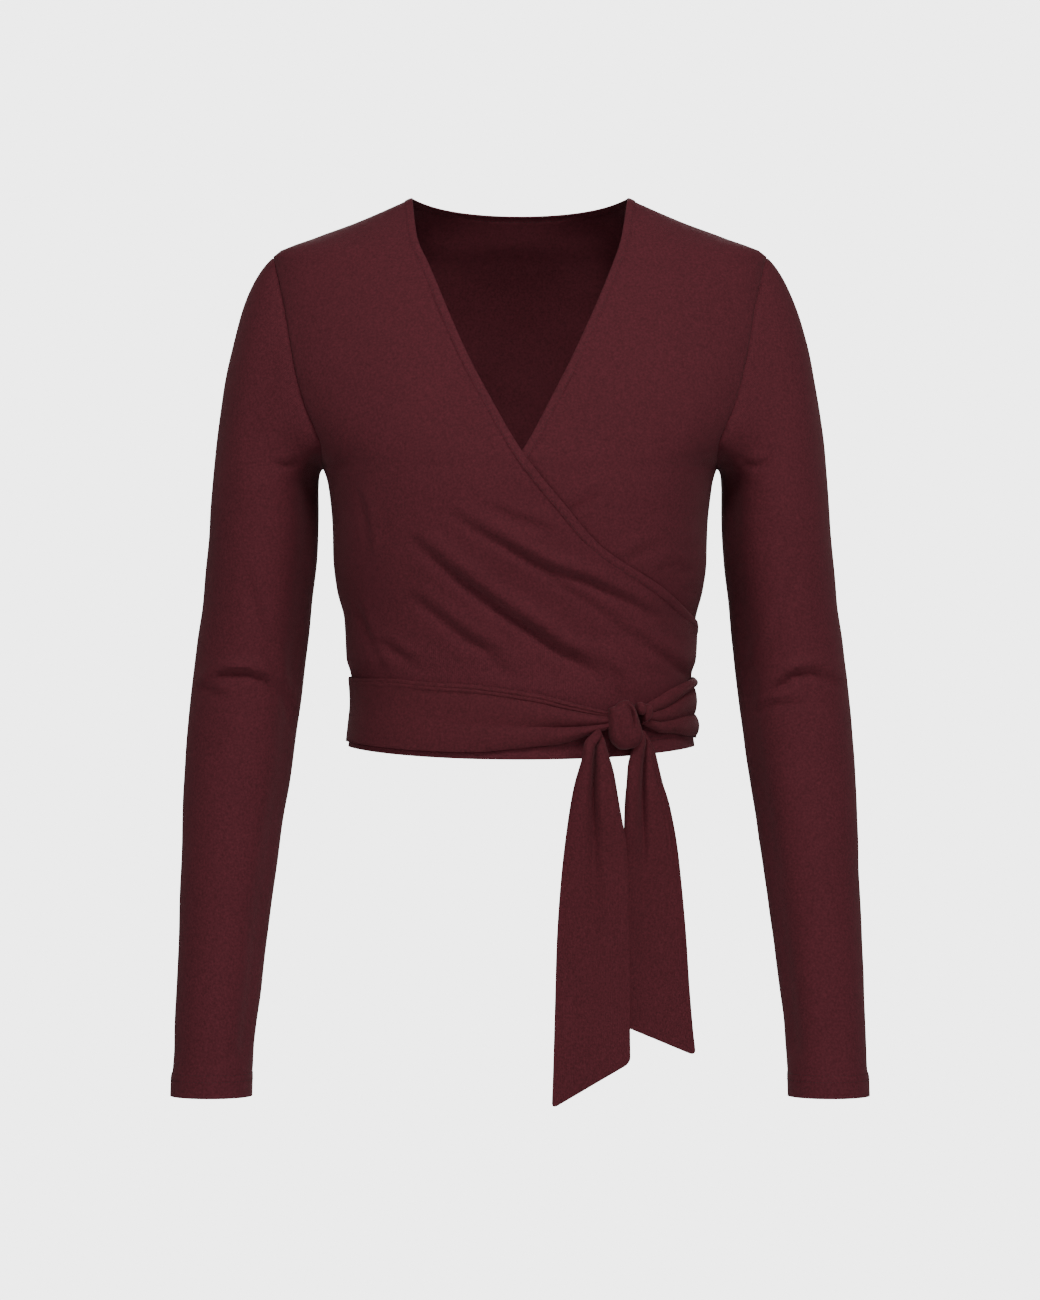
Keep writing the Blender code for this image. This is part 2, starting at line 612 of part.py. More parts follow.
def bundle(name, size, rings, segments, stand_off):
    """A rounded bundle of cloth seated on the over front, its flat sides to left and right."""
    turn = turn_at_x(size["x"], size["drop"])
    seat = lifted(turn, size["drop"], FRONT, over_lift(turn) + stand_off + size["half_depth"])
    normal = form_normal(turn, size["drop"], FRONT)
    heading = math.atan2(normal[0], -normal[1]) * size["swing"]
    normal = np.array((math.sin(heading), -math.cos(heading), 0.0))
    along = np.array((-normal[1], normal[0], 0.0))
    up = np.array((0.0, 0.0, 1.0))
    points = []
    for r in range(1, rings):
        angle = math.pi * (r / rings - 0.5)
        shrink = math.cos(angle) ** 0.45
        width = size["half_width"] * math.copysign(abs(math.sin(angle)) ** 0.8, math.sin(angle))
        for s in range(segments):
            spin = -2 * math.pi * s / segments
            height = math.sin(spin) * size["half_height"] * shrink
            shift = -size["lean"] * height
            points.append(seat + along * (width + shift) + up * height
                          + normal * math.cos(spin) * size["half_depth"] * shrink)
    tips = [seat - along * size["half_width"], seat + along * size["half_width"]]
    faces = grid_faces(rings - 1, segments, ring=True)
    last = (rings - 2) * segments
    pole = len(points)
    faces += [(pole, (s + 1) % segments, s) for s in range(segments)]
    faces += [(pole + 1, last + s, last + (s + 1) % segments) for s in range(segments)]
    return place(name, np.array(points + tips), faces, SASH_JERSEY)


def across(table, axis, share):
    """A coordinate of a free end, from its left edge to its right edge."""
    left, right = table.column(axis + "_left"), table.column(axis + "_right")
    return left[:, None] * (1 - share) + right[:, None] * share


def tail(name, table, slant):
    """A free end of the sash, pleated at the knot and cut on the slant."""
    drops = table.column("drop")
    share = np.linspace(0, 1, TAIL_COLUMNS + 1)
    x = across(table, "x", share)
    y = across(table, "y", share) - table.column("pleat")[:, None] * np.abs(np.sin(2 * math.pi * share))
    fade = ease((drops - TAIL_SLANT_START) / (drops[-1] - TAIL_SLANT_START))[:, None]
    z = -(drops[:, None] + slant * (share - 0.5) * fade)
    return sheet(name, np.stack((x, y, z), axis=-1), SASH_WALL, SASH_JERSEY)


def main():
    """Clear the scene and make each piece of the top."""
    for thing in list(bpy.data.objects):
        bpy.data.objects.remove(thing)
    back()
    front("front_under", "neck_band_under", NeckLine("under_x", -1), UNDER_ROWS, UNDER_COLUMNS,
          math.radians(HIDDEN_TURN), BAND_SHORT, under_level)
    front("front_over", "neck_band_over", NeckLine("over_x", 1), OVER_ROWS, OVER_COLUMNS,
          math.pi / 2, 0.0, over_level)
    sleeve("sleeve_right", -1, SLEEVE_RIGHT_FOLDS)
    sleeve("sleeve_left", 1, SLEEVE_LEFT_FOLDS)
    side = seam_turn(SASH_DROP, FRONT)
    sash_front("sash_front_right", SASH_RIGHT, ("top", "valley", "bottom"), 3, first=-side)
    sash_front("sash_front_left", SASH_LEFT, ("top", "first", "second", "bottom"), 3, last=side)
    sash_back()
    bundle("knot", KNOT, 10, 14, JERSEY_WALL / 2 + SEAM_GAP)
    bundle("knot_side_loop", KNOT_LOOP, 7, 10, JERSEY_WALL / 2 + SEAM_GAP)
    tail("tail_front", TAIL_FRONT, TAIL_FRONT_SLANT)
    tail("tail_back", TAIL_BACK, TAIL_BACK_SLANT)


main()
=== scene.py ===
"""The looks of a wrap top: burgundy jersey, a crossed V neck and a knotted sash.

Sizes are in millimetres until a mesh is made. A "drop" is how far a point lies below the origin,
which is midway between the neck ends of the shoulder seams. A "turn" is how far a point lies round
the torso: 0 at the centre of the front or back and 90 degrees at the side. "Right" and "left" are
the wearer's.
"""

import logging
import math
from dataclasses import dataclass
from enum import IntEnum
from typing import Sequence

import bpy
import numpy as np
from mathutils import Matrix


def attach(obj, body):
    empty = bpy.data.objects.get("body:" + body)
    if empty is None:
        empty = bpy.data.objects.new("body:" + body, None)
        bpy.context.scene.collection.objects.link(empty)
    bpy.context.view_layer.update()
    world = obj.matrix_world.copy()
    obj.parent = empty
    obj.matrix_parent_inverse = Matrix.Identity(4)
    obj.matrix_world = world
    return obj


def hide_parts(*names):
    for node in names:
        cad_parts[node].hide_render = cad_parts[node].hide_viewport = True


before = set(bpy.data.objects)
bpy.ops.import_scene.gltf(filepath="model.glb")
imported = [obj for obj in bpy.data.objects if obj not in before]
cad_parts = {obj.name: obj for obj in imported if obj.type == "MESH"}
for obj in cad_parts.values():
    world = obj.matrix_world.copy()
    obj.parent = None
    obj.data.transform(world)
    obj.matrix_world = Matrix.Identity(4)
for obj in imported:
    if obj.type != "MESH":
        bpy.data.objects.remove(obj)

log = logging.getLogger("wrap_top")
MM = 0.001
JERSEY_WALL = 1.0
BAND_WALL = 1.2
SASH_WALL = 1.6
SEAM_GAP = 0.4
SEAM_SLIT = 0.03
BODY = "root"


class Face(IntEnum):
    """Which half of the torso a panel covers."""

    FRONT = -1
    BACK = 1


class Side(IntEnum):
    """The wearer's side."""

    RIGHT = -1
    LEFT = 1


JERSEY_COLOUR = (0.088, 0.0152, 0.0222)
# Sash and tails: the jersey's colour made a little darker, as painted shade for the darker hanging tails.
SHADED_SASH_COLOUR = (0.083, 0.0140, 0.0200)
THREAD_COLOUR = (0.022, 0.003, 0.005)


# ---- Curves ----

def smooth(keys: Sequence[float], values: Sequence[float], at: np.ndarray) -> np.ndarray:
    """Read a curve that passes through its points and never overshoots them.

    Args:
        keys: Where the points stand, rising.
        values: The curve's value at each.
        at: Where to read it.

    Returns:
        The value at each of `at`.
    """
    keys = np.asarray(keys, float)
    values = np.asarray(values, float)
    at = np.clip(np.asarray(at, float), keys[0], keys[-1])
    span = np.diff(keys)
    slope = np.diff(values) / span
    product = slope[:-1] * slope[1:]
    total = np.where(product > 0, slope[:-1] + slope[1:], 1.0)
    tangent = np.concatenate(([slope[0]], np.where(product > 0, 2 * product / total, 0), [slope[-1]]))
    k = np.clip(np.searchsorted(keys, at, side="right") - 1, 0, len(span) - 1)
    t = (at - keys[k]) / span[k]
    return ((1 + 2 * t) * (1 - t) ** 2 * values[k] + t * (1 - t) ** 2 * span[k] * tangent[k]
            + t * t * (3 - 2 * t) * values[k + 1] - t * t * (1 - t) * span[k] * tangent[k + 1])


def ease(t: np.ndarray) -> np.ndarray:
    """Step smoothly from 0 at 0 to 1 at 1."""
    t = np.clip(t, 0.0, 1.0)
    return t * t * (3 - 2 * t)


def unit(vectors: np.ndarray) -> np.ndarray:
    """Scale each vector to length one."""
    return vectors / np.maximum(np.linalg.norm(vectors, axis=-1, keepdims=True), 1e-9)


def finer(rows: Sequence[float], parts: int) -> np.ndarray:
    """Put evenly spaced values between each two rows.

    Args:
        rows: Rising values.
        parts: How many steps each interval becomes.

    Returns:
        The rows with the new values between them.
    """
    rows = np.asarray(rows, float)
    return np.interp(np.arange((len(rows) - 1) * parts + 1) / parts, np.arange(len(rows)), rows)


def lengths(grid: np.ndarray, axis: int) -> np.ndarray:
    """Measure how far each point lies along its row (axis 1) or its column (axis 0)."""
    steps = np.linalg.norm(np.diff(grid, axis=axis), axis=-1)
    pad = [(0, 0)] * steps.ndim
    pad[axis] = (1, 0)
    return np.cumsum(np.pad(steps, pad), axis=axis)


def path_lengths(line: np.ndarray) -> np.ndarray:
    """Measure how far each point lies along a line."""
    return lengths(line, 0)


def along_path(at: np.ndarray, steps: np.ndarray, line: np.ndarray) -> np.ndarray:
    """Read a line of points at lengths along it.

    Args:
        at: The lengths to read at.
        steps: The length at each of the line's points.
        line: The points, or anything else given at each, in columns.

    Returns:
        What the line holds at each length.
    """
    return np.stack([np.interp(at, steps, line[:, k]) for k in range(line.shape[1])], -1)


class Table:
    """Rows of sizes under named columns, read between the rows along a smooth curve."""

    def __init__(self, columns: str, rows: Sequence[Sequence[float]]) -> None:
        """Keep the rows under the names in `columns`, which are parted by spaces."""
        self.columns = columns.split()
        self.rows = np.array(rows, float)

    def read(self, column: str, at: np.ndarray) -> np.ndarray:
        """Read the named column where the first column is `at`."""
        return smooth(self.rows[:, 0], self.rows[:, self.columns.index(column)], at)

    def column(self, name: str) -> np.ndarray:
        """Give the named column as it stands."""
        return self.rows[:, self.columns.index(name)]


# ---- The form that the cloth lies on ----

TORSO = Table("drop half_width front_depth back_depth", (
    (0.0, 79.5, 14, 45), (10.0, 101.0, 22, 58), (20.0, 124.6, 30, 65), (30.0, 151.6, 38, 70),
    (43.5, 182.0, 48, 78), (70.0, 186.6, 64, 89), (100.0, 187.0, 78, 96), (130.0, 183.0, 92, 99),
    (160.0, 172.0, 103, 100), (185.0, 156.0, 111, 99), (200.0, 145.0, 115, 98),
    (212.0, 141.4, 116, 97), (240.0, 138.4, 114, 93), (268.0, 137.4, 109, 89),
    (290.0, 134.6, 104, 87), (312.0, 129.2, 100, 85), (340.0, 127.8, 96, 84),
    (352.0, 124.4, 95, 84), (372.0, 123.2, 95, 85), (390.0, 124.8, 96, 88), (412.0, 127.4, 97, 92),
))
ARMHOLE = Table("drop x", (
    (43.5, 182.0), (60.0, 178.4), (83.0, 173.0), (114.0, 167.5), (135.0, 163.0),
    (157.0, 156.5), (172.0, 150.0), (187.0, 145.0), (200.0, 145.0),
))
SHOULDER_DROP = 43.5
UNDERARM_DROP = 200.0
FULLNESS = 0.15
LAYER_STEP = 2.1
HIDDEN_EASE = 5.0
SASH_DROP = 380.0
QUARTER = np.linspace(-math.pi / 2, math.pi / 2, 721)


def round_x(turn: np.ndarray) -> np.ndarray:
    """Share of the half width at a turn."""
    return np.sin(turn) * (1 + FULLNESS * np.cos(turn) ** 2)


def round_y(turn: np.ndarray) -> np.ndarray:
    """Share of the depth at a turn."""
    return np.cos(turn) * (1 + FULLNESS * np.sin(turn) ** 2)


QUARTER_ANGLE = np.arctan2(round_x(QUARTER), round_y(QUARTER))


def depth_column(face: Face) -> str:
    """Name the torso's depth column for a face."""
    return "front_depth" if face == Face.FRONT else "back_depth"


def form(turn: np.ndarray, drop: np.ndarray, face: Face) -> np.ndarray:
    """Place points on the torso's form.

    Args:
        turn: How far round each point lies.
        drop: How far down it lies.
        face: The front or the back.

    Returns:
        The points, with x, y and z last.
    """
    depth = TORSO.read(depth_column(face), drop)
    return np.stack((TORSO.read("half_width", drop) * round_x(turn),
                     int(face) * depth * round_y(turn), -np.asarray(drop, float)), axis=-1)


def form_normal(turn: np.ndarray, drop: np.ndarray, face: Face) -> np.ndarray:
    """Give the outward direction of the form at points given as for `form`."""
    turn, drop = np.broadcast_arrays(np.asarray(turn, float), np.asarray(drop, float))
    step = 1e-3
    along = form(turn + step, drop, face) - form(turn - step, drop, face)
    down = form(turn, drop + 0.4, face) - form(turn, np.maximum(drop - 0.4, 0), face)
    normal = unit(np.cross(along, down))
    outward = np.sum(normal * form(turn, drop, face), axis=-1, keepdims=True)
    return np.where(outward < 0, -normal, normal)


def lifted(turn: np.ndarray, drop: np.ndarray, face: Face, lift: np.ndarray) -> np.ndarray:
    """Place points of the form, moved out by `lift`."""
    return form(turn, drop, face) + np.asarray(lift)[..., None] * form_normal(turn, drop, face)


def turn_at_x(x: np.ndarray, drop: np.ndarray) -> np.ndarray:
    """Find the turn whose point stands at x."""
    share = np.clip(np.asarray(x, float) / TORSO.read("half_width", drop), -1, 1)
    return np.interp(share, round_x(QUARTER), QUARTER)


def turn_of(points: np.ndarray, face: Face) -> np.ndarray:
    """Find the turns of points on the form."""
    drop = -points[..., 2]
    depth = TORSO.read(depth_column(face), drop)
    angle = np.arctan2(points[..., 0] / TORSO.read("half_width", drop), int(face) * points[..., 1] / depth)
    return np.interp(angle, QUARTER_ANGLE, QUARTER)


def seam_turn(drop: np.ndarray, face: Face, gap: float = SEAM_SLIT) -> np.ndarray:
    """Find the turn of the seam beside a panel, less the slit that stays open.

    Args:
        drop: How far down to look.
        face: The front or the back.
        gap: How far short of the seam the panel stops.

    Returns:
        The turn at each drop: along the shoulder, then the armhole, then the side seam.
    """
    drop = np.asarray(drop, float)
    armhole = turn_at_x(ARMHOLE.read("x", drop), drop)
    at_armhole = (drop > SHOULDER_DROP) & (drop < UNDERARM_DROP)
    turn = np.where(at_armhole, armhole, math.pi / 2)
    pace = np.linalg.norm(form(turn + 1e-3, drop, face) - form(turn - 1e-3, drop, face), axis=-1) / 2e-3
    return turn - gap / np.maximum(pace, 5.0)


def over_lift(turn: np.ndarray) -> np.ndarray:
    """Level of the over front: the back's at its own side seam, one layer higher at the other."""
    return LAYER_STEP * (turn + math.pi / 2) / math.pi


# ---- Folds ----

CREST_AWAY = 1.9
CREST_SPREAD = 1.35
FOLD_TAPER = 0.7


@dataclass(frozen=True)
class Fold:
    """One fold of cloth: a valley with a crest beside it, along a line of (x, drop) points."""

    depth: float
    width: float
    crest: float
    line: tuple[tuple[float, float], ...]

    def push(self, x: np.ndarray, drop: np.ndarray) -> np.ndarray:
        """Say how far the fold moves the cloth out.

        Args:
            x: Where the points lie across.
            drop: How far down they lie.

        Returns:
            The move at each point, negative in the valley.
        """
        points = np.array(self.line, float)
        steps = path_lengths(points)
        at = np.linspace(0, steps[-1], 32)
        line = np.stack((smooth(steps, points[:, 0], at), smooth(steps, points[:, 1], at)), axis=-1)
        here = np.stack((x, drop), axis=-1)[..., None, :]
        start, step = line[:-1], np.diff(line, axis=0)
        share = np.clip(np.sum((here - start) * step, -1) / np.sum(step * step, -1), 0, 1)
        away = here - (start + share[..., None] * step)
        gap = np.linalg.norm(away, axis=-1)
        near = np.argmin(gap, axis=-1)[..., None]
        along = (near[..., 0] + np.take_along_axis(share, near, -1)[..., 0]) / len(step)
        side = np.take_along_axis(step[:, 0] * away[..., 1] - step[:, 1] * away[..., 0], near, -1)[..., 0]
        offset = -np.take_along_axis(gap, near, -1)[..., 0] * np.sign(side)
        valley = self.depth * np.exp(-(offset / self.width) ** 2)
        crest = self.crest * np.exp(-((offset - CREST_AWAY * self.width)
                                      / (CREST_SPREAD * self.width)) ** 2)
        return np.sin(math.pi * np.clip(along, 0.0, 1.0)) ** FOLD_TAPER * (crest - valley)


def fold_push(x: np.ndarray, drop: np.ndarray, folds: Sequence[Fold]) -> np.ndarray:
    """Add up what all the folds do at points given by x and drop."""
    total = np.zeros(np.shape(x))
    for fold in folds:
        total = total + fold.push(x, drop)
    return total


# ---- Finishes ----

class Graph:
    """A material's node tree, with short calls to add nodes and join them."""

    def __init__(self, tree: bpy.types.NodeTree) -> None:
        """Work on `tree`."""
        self.tree = tree

    def node(self, kind: str, **values: object) -> bpy.types.Node:
        """Add a node.

        Args:
            kind: The node's type.
            values: Its settings, and numbers for its inputs where the name is an input's.

        Returns:
            The node.
        """
        made = self.tree.nodes.new(kind)
        for name, value in values.items():
            title = name.replace("_", " ").title()
            if title in made.inputs:
                made.inputs[title].default_value = value
            else:
                setattr(made, name, value)
        return made

    def join(self, source: bpy.types.NodeSocket, target: bpy.types.NodeSocket) -> None:
        """Link two sockets."""
        self.tree.links.new(source, target)

    def math(self, operation: str, *terms: object) -> bpy.types.NodeSocket:
        """Add a Math node on sockets or numbers, and give its result."""
        made = self.tree.nodes.new("ShaderNodeMath")
        made.operation = operation
        for place_in, term in zip(made.inputs, terms):
            if isinstance(term, (int, float)):
                place_in.default_value = term
            else:
                self.join(term, place_in)
        return made.outputs[0]


def blank(name: str) -> tuple[bpy.types.Material, Graph, bpy.types.Node]:
    """Start a material, and give it with its graph and its shader."""
    made = bpy.data.materials.new(name)
    made.use_nodes = True
    return made, Graph(made.node_tree), made.node_tree.nodes["Principled BSDF"]


@dataclass(frozen=True)
class Jersey:
    """Single jersey: fine columns of V-shaped stitches, soft mottling, painted shade between the stitches
    and a faint bloom.

    The stitches follow the cloth through its UV map, which is in metres along the rows and columns.
    """

    name: str
    colour: tuple[float, float, float]
    roughness: float = 0.86
    wale: float = 0.00085
    course: float = 0.00065
    stitch_height: float = 0.00016
    grain: float = 0.0016
    grain_share: float = 0.55
    mottle: float = 0.09
    sheen: float = 0.07

    def knit(self, graph: Graph) -> bpy.types.NodeSocket:
        """Draw the stitches' height, from 0 between the columns to 1 on top of a stitch."""
        where = graph.node("ShaderNodeUVMap")
        apart = graph.node("ShaderNodeSeparateXYZ")
        graph.join(where.outputs[0], apart.inputs[0])
        across = graph.math("DIVIDE", apart.outputs[0], self.wale)
        column = graph.math("ABSOLUTE", graph.math("SUBTRACT", graph.math("FRACT", across), 0.5))
        down = graph.math("DIVIDE", apart.outputs[1], self.course)
        slanted = graph.math("ADD", down, column)
        loop = graph.math("SINE", graph.math("MULTIPLY", slanted, 2 * math.pi))
        edge = graph.math("POWER", graph.math("MULTIPLY", column, 2.0), 3.0)
        rounding = graph.math("SUBTRACT", 1.0, edge)
        return graph.math("MULTIPLY", rounding, graph.math("MULTIPLY_ADD", loop, 0.3, 0.7))

    def material(self) -> bpy.types.Material:
        """Build the material."""
        made, graph, shader = blank(self.name)
        shader.inputs["Specular IOR Level"].default_value = 0.18
        shader.inputs["Sheen Weight"].default_value = self.sheen
        shader.inputs["Sheen Roughness"].default_value = 0.4
        shader.inputs["Sheen Tint"].default_value = (1.0, 0.62, 0.62, 1.0)
        where = graph.node("ShaderNodeTexCoord")
        fine = graph.node("ShaderNodeTexNoise", scale=1 / self.grain, detail=2.0, roughness=0.6)
        broad = graph.node("ShaderNodeTexNoise", scale=14.0, detail=4.0, roughness=0.55)
        graph.join(where.outputs["Object"], fine.inputs["Vector"])
        graph.join(where.outputs["Object"], broad.inputs["Vector"])
        height = self.knit(graph)
        tone = graph.math("MULTIPLY_ADD", graph.math("SUBTRACT", fine.outputs["Fac"], 0.5),
                          2 * self.grain_share, 1.0)
        tone = graph.math("MULTIPLY_ADD", graph.math("SUBTRACT", broad.outputs["Fac"], 0.5),
                          2 * self.mottle, tone)
        # Painted shade: the colour is darker where the knit lies low between the stitches and lighter on
        # top of them.
        tone = graph.math("MULTIPLY_ADD", graph.math("SUBTRACT", height, 0.6), 0.22, tone)
        shade = graph.node("ShaderNodeMix", data_type="RGBA", blend_type="MULTIPLY")
        shade.inputs[0].default_value = 1.0
        shade.inputs[6].default_value = (*self.colour, 1.0)
        grey = graph.node("ShaderNodeCombineColor")
        for channel in grey.inputs:
            graph.join(tone, channel)
        graph.join(grey.outputs[0], shade.inputs[7])
        graph.join(shade.outputs[2], shader.inputs["Base Color"])
        rough = graph.math("MULTIPLY_ADD", fine.outputs["Fac"], 0.12, self.roughness - 0.06)
        graph.join(rough, shader.inputs["Roughness"])
        bump = graph.node("ShaderNodeBump", strength=0.55, distance=self.stitch_height)
        graph.join(graph.math("MULTIPLY_ADD", fine.outputs["Fac"], 0.8, height), bump.inputs["Height"])
        graph.join(bump.outputs["Normal"], shader.inputs["Normal"])
        return made


@dataclass(frozen=True)
class Thread:
    """Sewing thread: a tone darker than the cloth, with a slight gloss and twist."""

    name: str
    colour: tuple[float, float, float]
    roughness: float = 0.6
    twist: float = 0.0004

    def material(self) -> bpy.types.Material:
        """Build the material."""
        made, graph, shader = blank(self.name)
        shader.inputs["Roughness"].default_value = self.roughness
        shader.inputs["Specular IOR Level"].default_value = 0.3
        where = graph.node("ShaderNodeTexCoord")
        strand = graph.node("ShaderNodeTexNoise", scale=1 / self.twist, detail=1.0)
        graph.join(where.outputs["Object"], strand.inputs["Vector"])
        ramp = graph.node("ShaderNodeValToRGB")
        ramp.color_ramp.elements[0].color = (*(0.7 * c for c in self.colour), 1.0)
        ramp.color_ramp.elements[1].color = (*(1.3 * c for c in self.colour), 1.0)
        graph.join(strand.outputs["Fac"], ramp.inputs["Fac"])
        graph.join(ramp.outputs["Color"], shader.inputs["Base Color"])
        return made


# ---- Making pieces ----

def place(name: str, points: np.ndarray, faces: list, material: bpy.types.Material) -> bpy.types.Object:
    """Make a named object from points in millimetres.

    Args:
        name: The object's name.
        points: Its points, in any grid.
        faces: Its faces, as tuples of point numbers.
        material: What it is made of.

    Returns:
        The object, at the origin.
    """
    mesh = bpy.data.meshes.new(name)
    mesh.from_pydata((np.asarray(points).reshape(-1, 3) * MM).tolist(), [], faces)
    mesh.materials.append(material)
    mesh.shade_smooth()
    piece = bpy.data.objects.new(name, mesh)
    bpy.context.collection.objects.link(piece)
    return piece


def grid_faces(rows: int, columns: int, ring: bool = False) -> list[tuple[int, ...]]:
    """List the quads of a grid, closed round its columns if it is a ring."""
    reach = columns if ring else columns - 1
    return [(r * columns + c, r * columns + (c + 1) % columns,
             (r + 1) * columns + (c + 1) % columns, (r + 1) * columns + c)
            for r in range(rows - 1) for c in range(reach)]


def grid_normals(grid: np.ndarray, ring: bool = False) -> np.ndarray:
    """Give the direction in which a grid's own faces point, at each point.

    Args:
        grid: Points in rows and columns.
        ring: Whether the columns close round.

    Returns:
        Directions of length one.
    """
    if ring:
        along = np.roll(grid, -1, axis=1) - np.roll(grid, 1, axis=1)
    else:
        along = np.gradient(grid, axis=1)
    return unit(np.cross(along, np.gradient(grid, axis=0)))


def waver(grid: np.ndarray, height: float, seed: int = 7) -> np.ndarray:
    """Make the slow, uneven rise and fall that keeps cloth from looking moulded.

    Args:
        grid: Points in millimetres.
        height: How far it rises and falls.
        seed: Which pattern to make.

    Returns:
        The rise at each point.
    """
    draw = np.random.default_rng(seed)
    total = np.zeros(grid.shape[:2])
    for length in (95.0, 70.0, 52.0, 38.0, 27.0):
        for _ in range(3):
            heading = draw.normal(size=3)
            heading *= 2 * math.pi / (length * np.linalg.norm(heading))
            total += (length / 95.0) * np.sin(grid @ heading + draw.uniform(0, 2 * math.pi))
    return height * total / 3.5


HEM_FADE_START = 330.0
STITCH_LEVEL = JERSEY_WALL / 2 + 0.05


def hem_fall(turn: np.ndarray, drop: np.ndarray, bottom: float, dip: float) -> np.ndarray:
    """Say how much lower the hem hangs at a turn, from none high up to the whole dip at `bottom`."""
    return ease((drop - HEM_FADE_START) / (bottom - HEM_FADE_START)) * dip * (np.cos(turn) ** 2 - 1)


def hem_lines(face: Face, bottom: float, dip: float, rows: Sequence[float]) -> list[np.ndarray]:
    """Trace a hem's rows of stitches.

    Args:
        face: The front or the back.
        bottom: The hem's lowest drop.
        dip: How much higher it lies at the sides.
        rows: How far above the edge each row lies.

    Returns:
        One line of points for each row.
    """
    turn = np.linspace(-1.53, 1.53, 200)
    edge = bottom + dip * (np.cos(turn) ** 2 - 1)
    level = STITCH_LEVEL + (over_lift(turn) if face == Face.FRONT else 0 * turn)
    return [lifted(turn, edge - up, face, level) for up in rows]


SEAM_TURN_IN = 1.5
SEAM_ROUND = 1.4
NEAR_SEAM = (0.0, 0.003, 0.006, 0.010, 0.015)


def seam_shares(columns: int, both: bool = False) -> np.ndarray:
    """Space a row's points evenly, with more of them beside the seam at its start or both ends."""
    near = np.array(NEAR_SEAM)
    if both:
        return np.concatenate((near, np.linspace(0.021, 0.979, columns), 1 - near[::-1]))
    return np.concatenate((near, np.linspace(0.021, 1.0, columns)))


def turned_in(away: np.ndarray) -> np.ndarray:
    """Sink the cloth into a seam: how far it lies in at a distance from the seam."""
    return -SEAM_TURN_IN * np.exp(-(away / SEAM_ROUND) ** 2)


@dataclass
class Cloth:
    """What every cloth piece holds: its node, its slot, its wall and its cut."""

    node: str
    slot: str
    wall: float
    flat: tuple[float, float]
    area: float | None = None
    held: str = "stretched"

    def sew(self, grid: np.ndarray, material: bpy.types.Material, ring: bool = False) -> bpy.types.Object:
        """Make the piece from a grid of points and seat it in the frame in place of its node.

        Args:
            grid: Points in rows and columns.
            material: What it is made of.
            ring: Whether the columns close round.

        Returns:
            The finished piece.
        """
        rows, columns = grid.shape[:2]
        piece = place("cloth_" + self.node, grid, grid_faces(rows, columns, ring), material)
        closed = np.concatenate((grid, grid[:, :1]), axis=1) if ring else grid
        across = lengths(closed, 1)
        across = across.mean(axis=0) * MM + 0 * across
        down = lengths(closed, 0).mean(axis=1, keepdims=True) * MM + 0 * across
        reach = columns if ring else columns - 1
        corner = np.array(((0, 0), (0, 1), (1, 1), (1, 0)))
        r, c = np.meshgrid(np.arange(rows - 1), np.arange(reach), indexing="ij")
        at_row = r[..., None] + corner[:, 0]
        at_column = c[..., None] + corner[:, 1]
        uv = np.stack((across[at_row, at_column], down[at_row, at_column]), axis=-1)
        layer = piece.data.uv_layers.new(name="cloth")
        layer.data.foreach_set("uv", uv.reshape(-1).astype(np.float32))
        walls = piece.modifiers.new("wall", "SOLIDIFY")
        walls.thickness = self.wall * MM
        walls.offset = 0.0
        walls.use_even_offset = True
        rounding = piece.modifiers.new("edge", "BEVEL")
        rounding.width = 0.3 * self.wall * MM
        rounding.segments = 2
        rounding.limit_method = "ANGLE"
        rounding.angle_limit = math.radians(60)
        return self.declare(piece)

    def declare(self, piece: bpy.types.Object) -> bpy.types.Object:
        """Seat a piece in the frame in place of its node."""
        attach(piece, BODY)
        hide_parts(self.node)
        log.info("%s: %d points", piece.name, len(piece.data.vertices))
        return piece


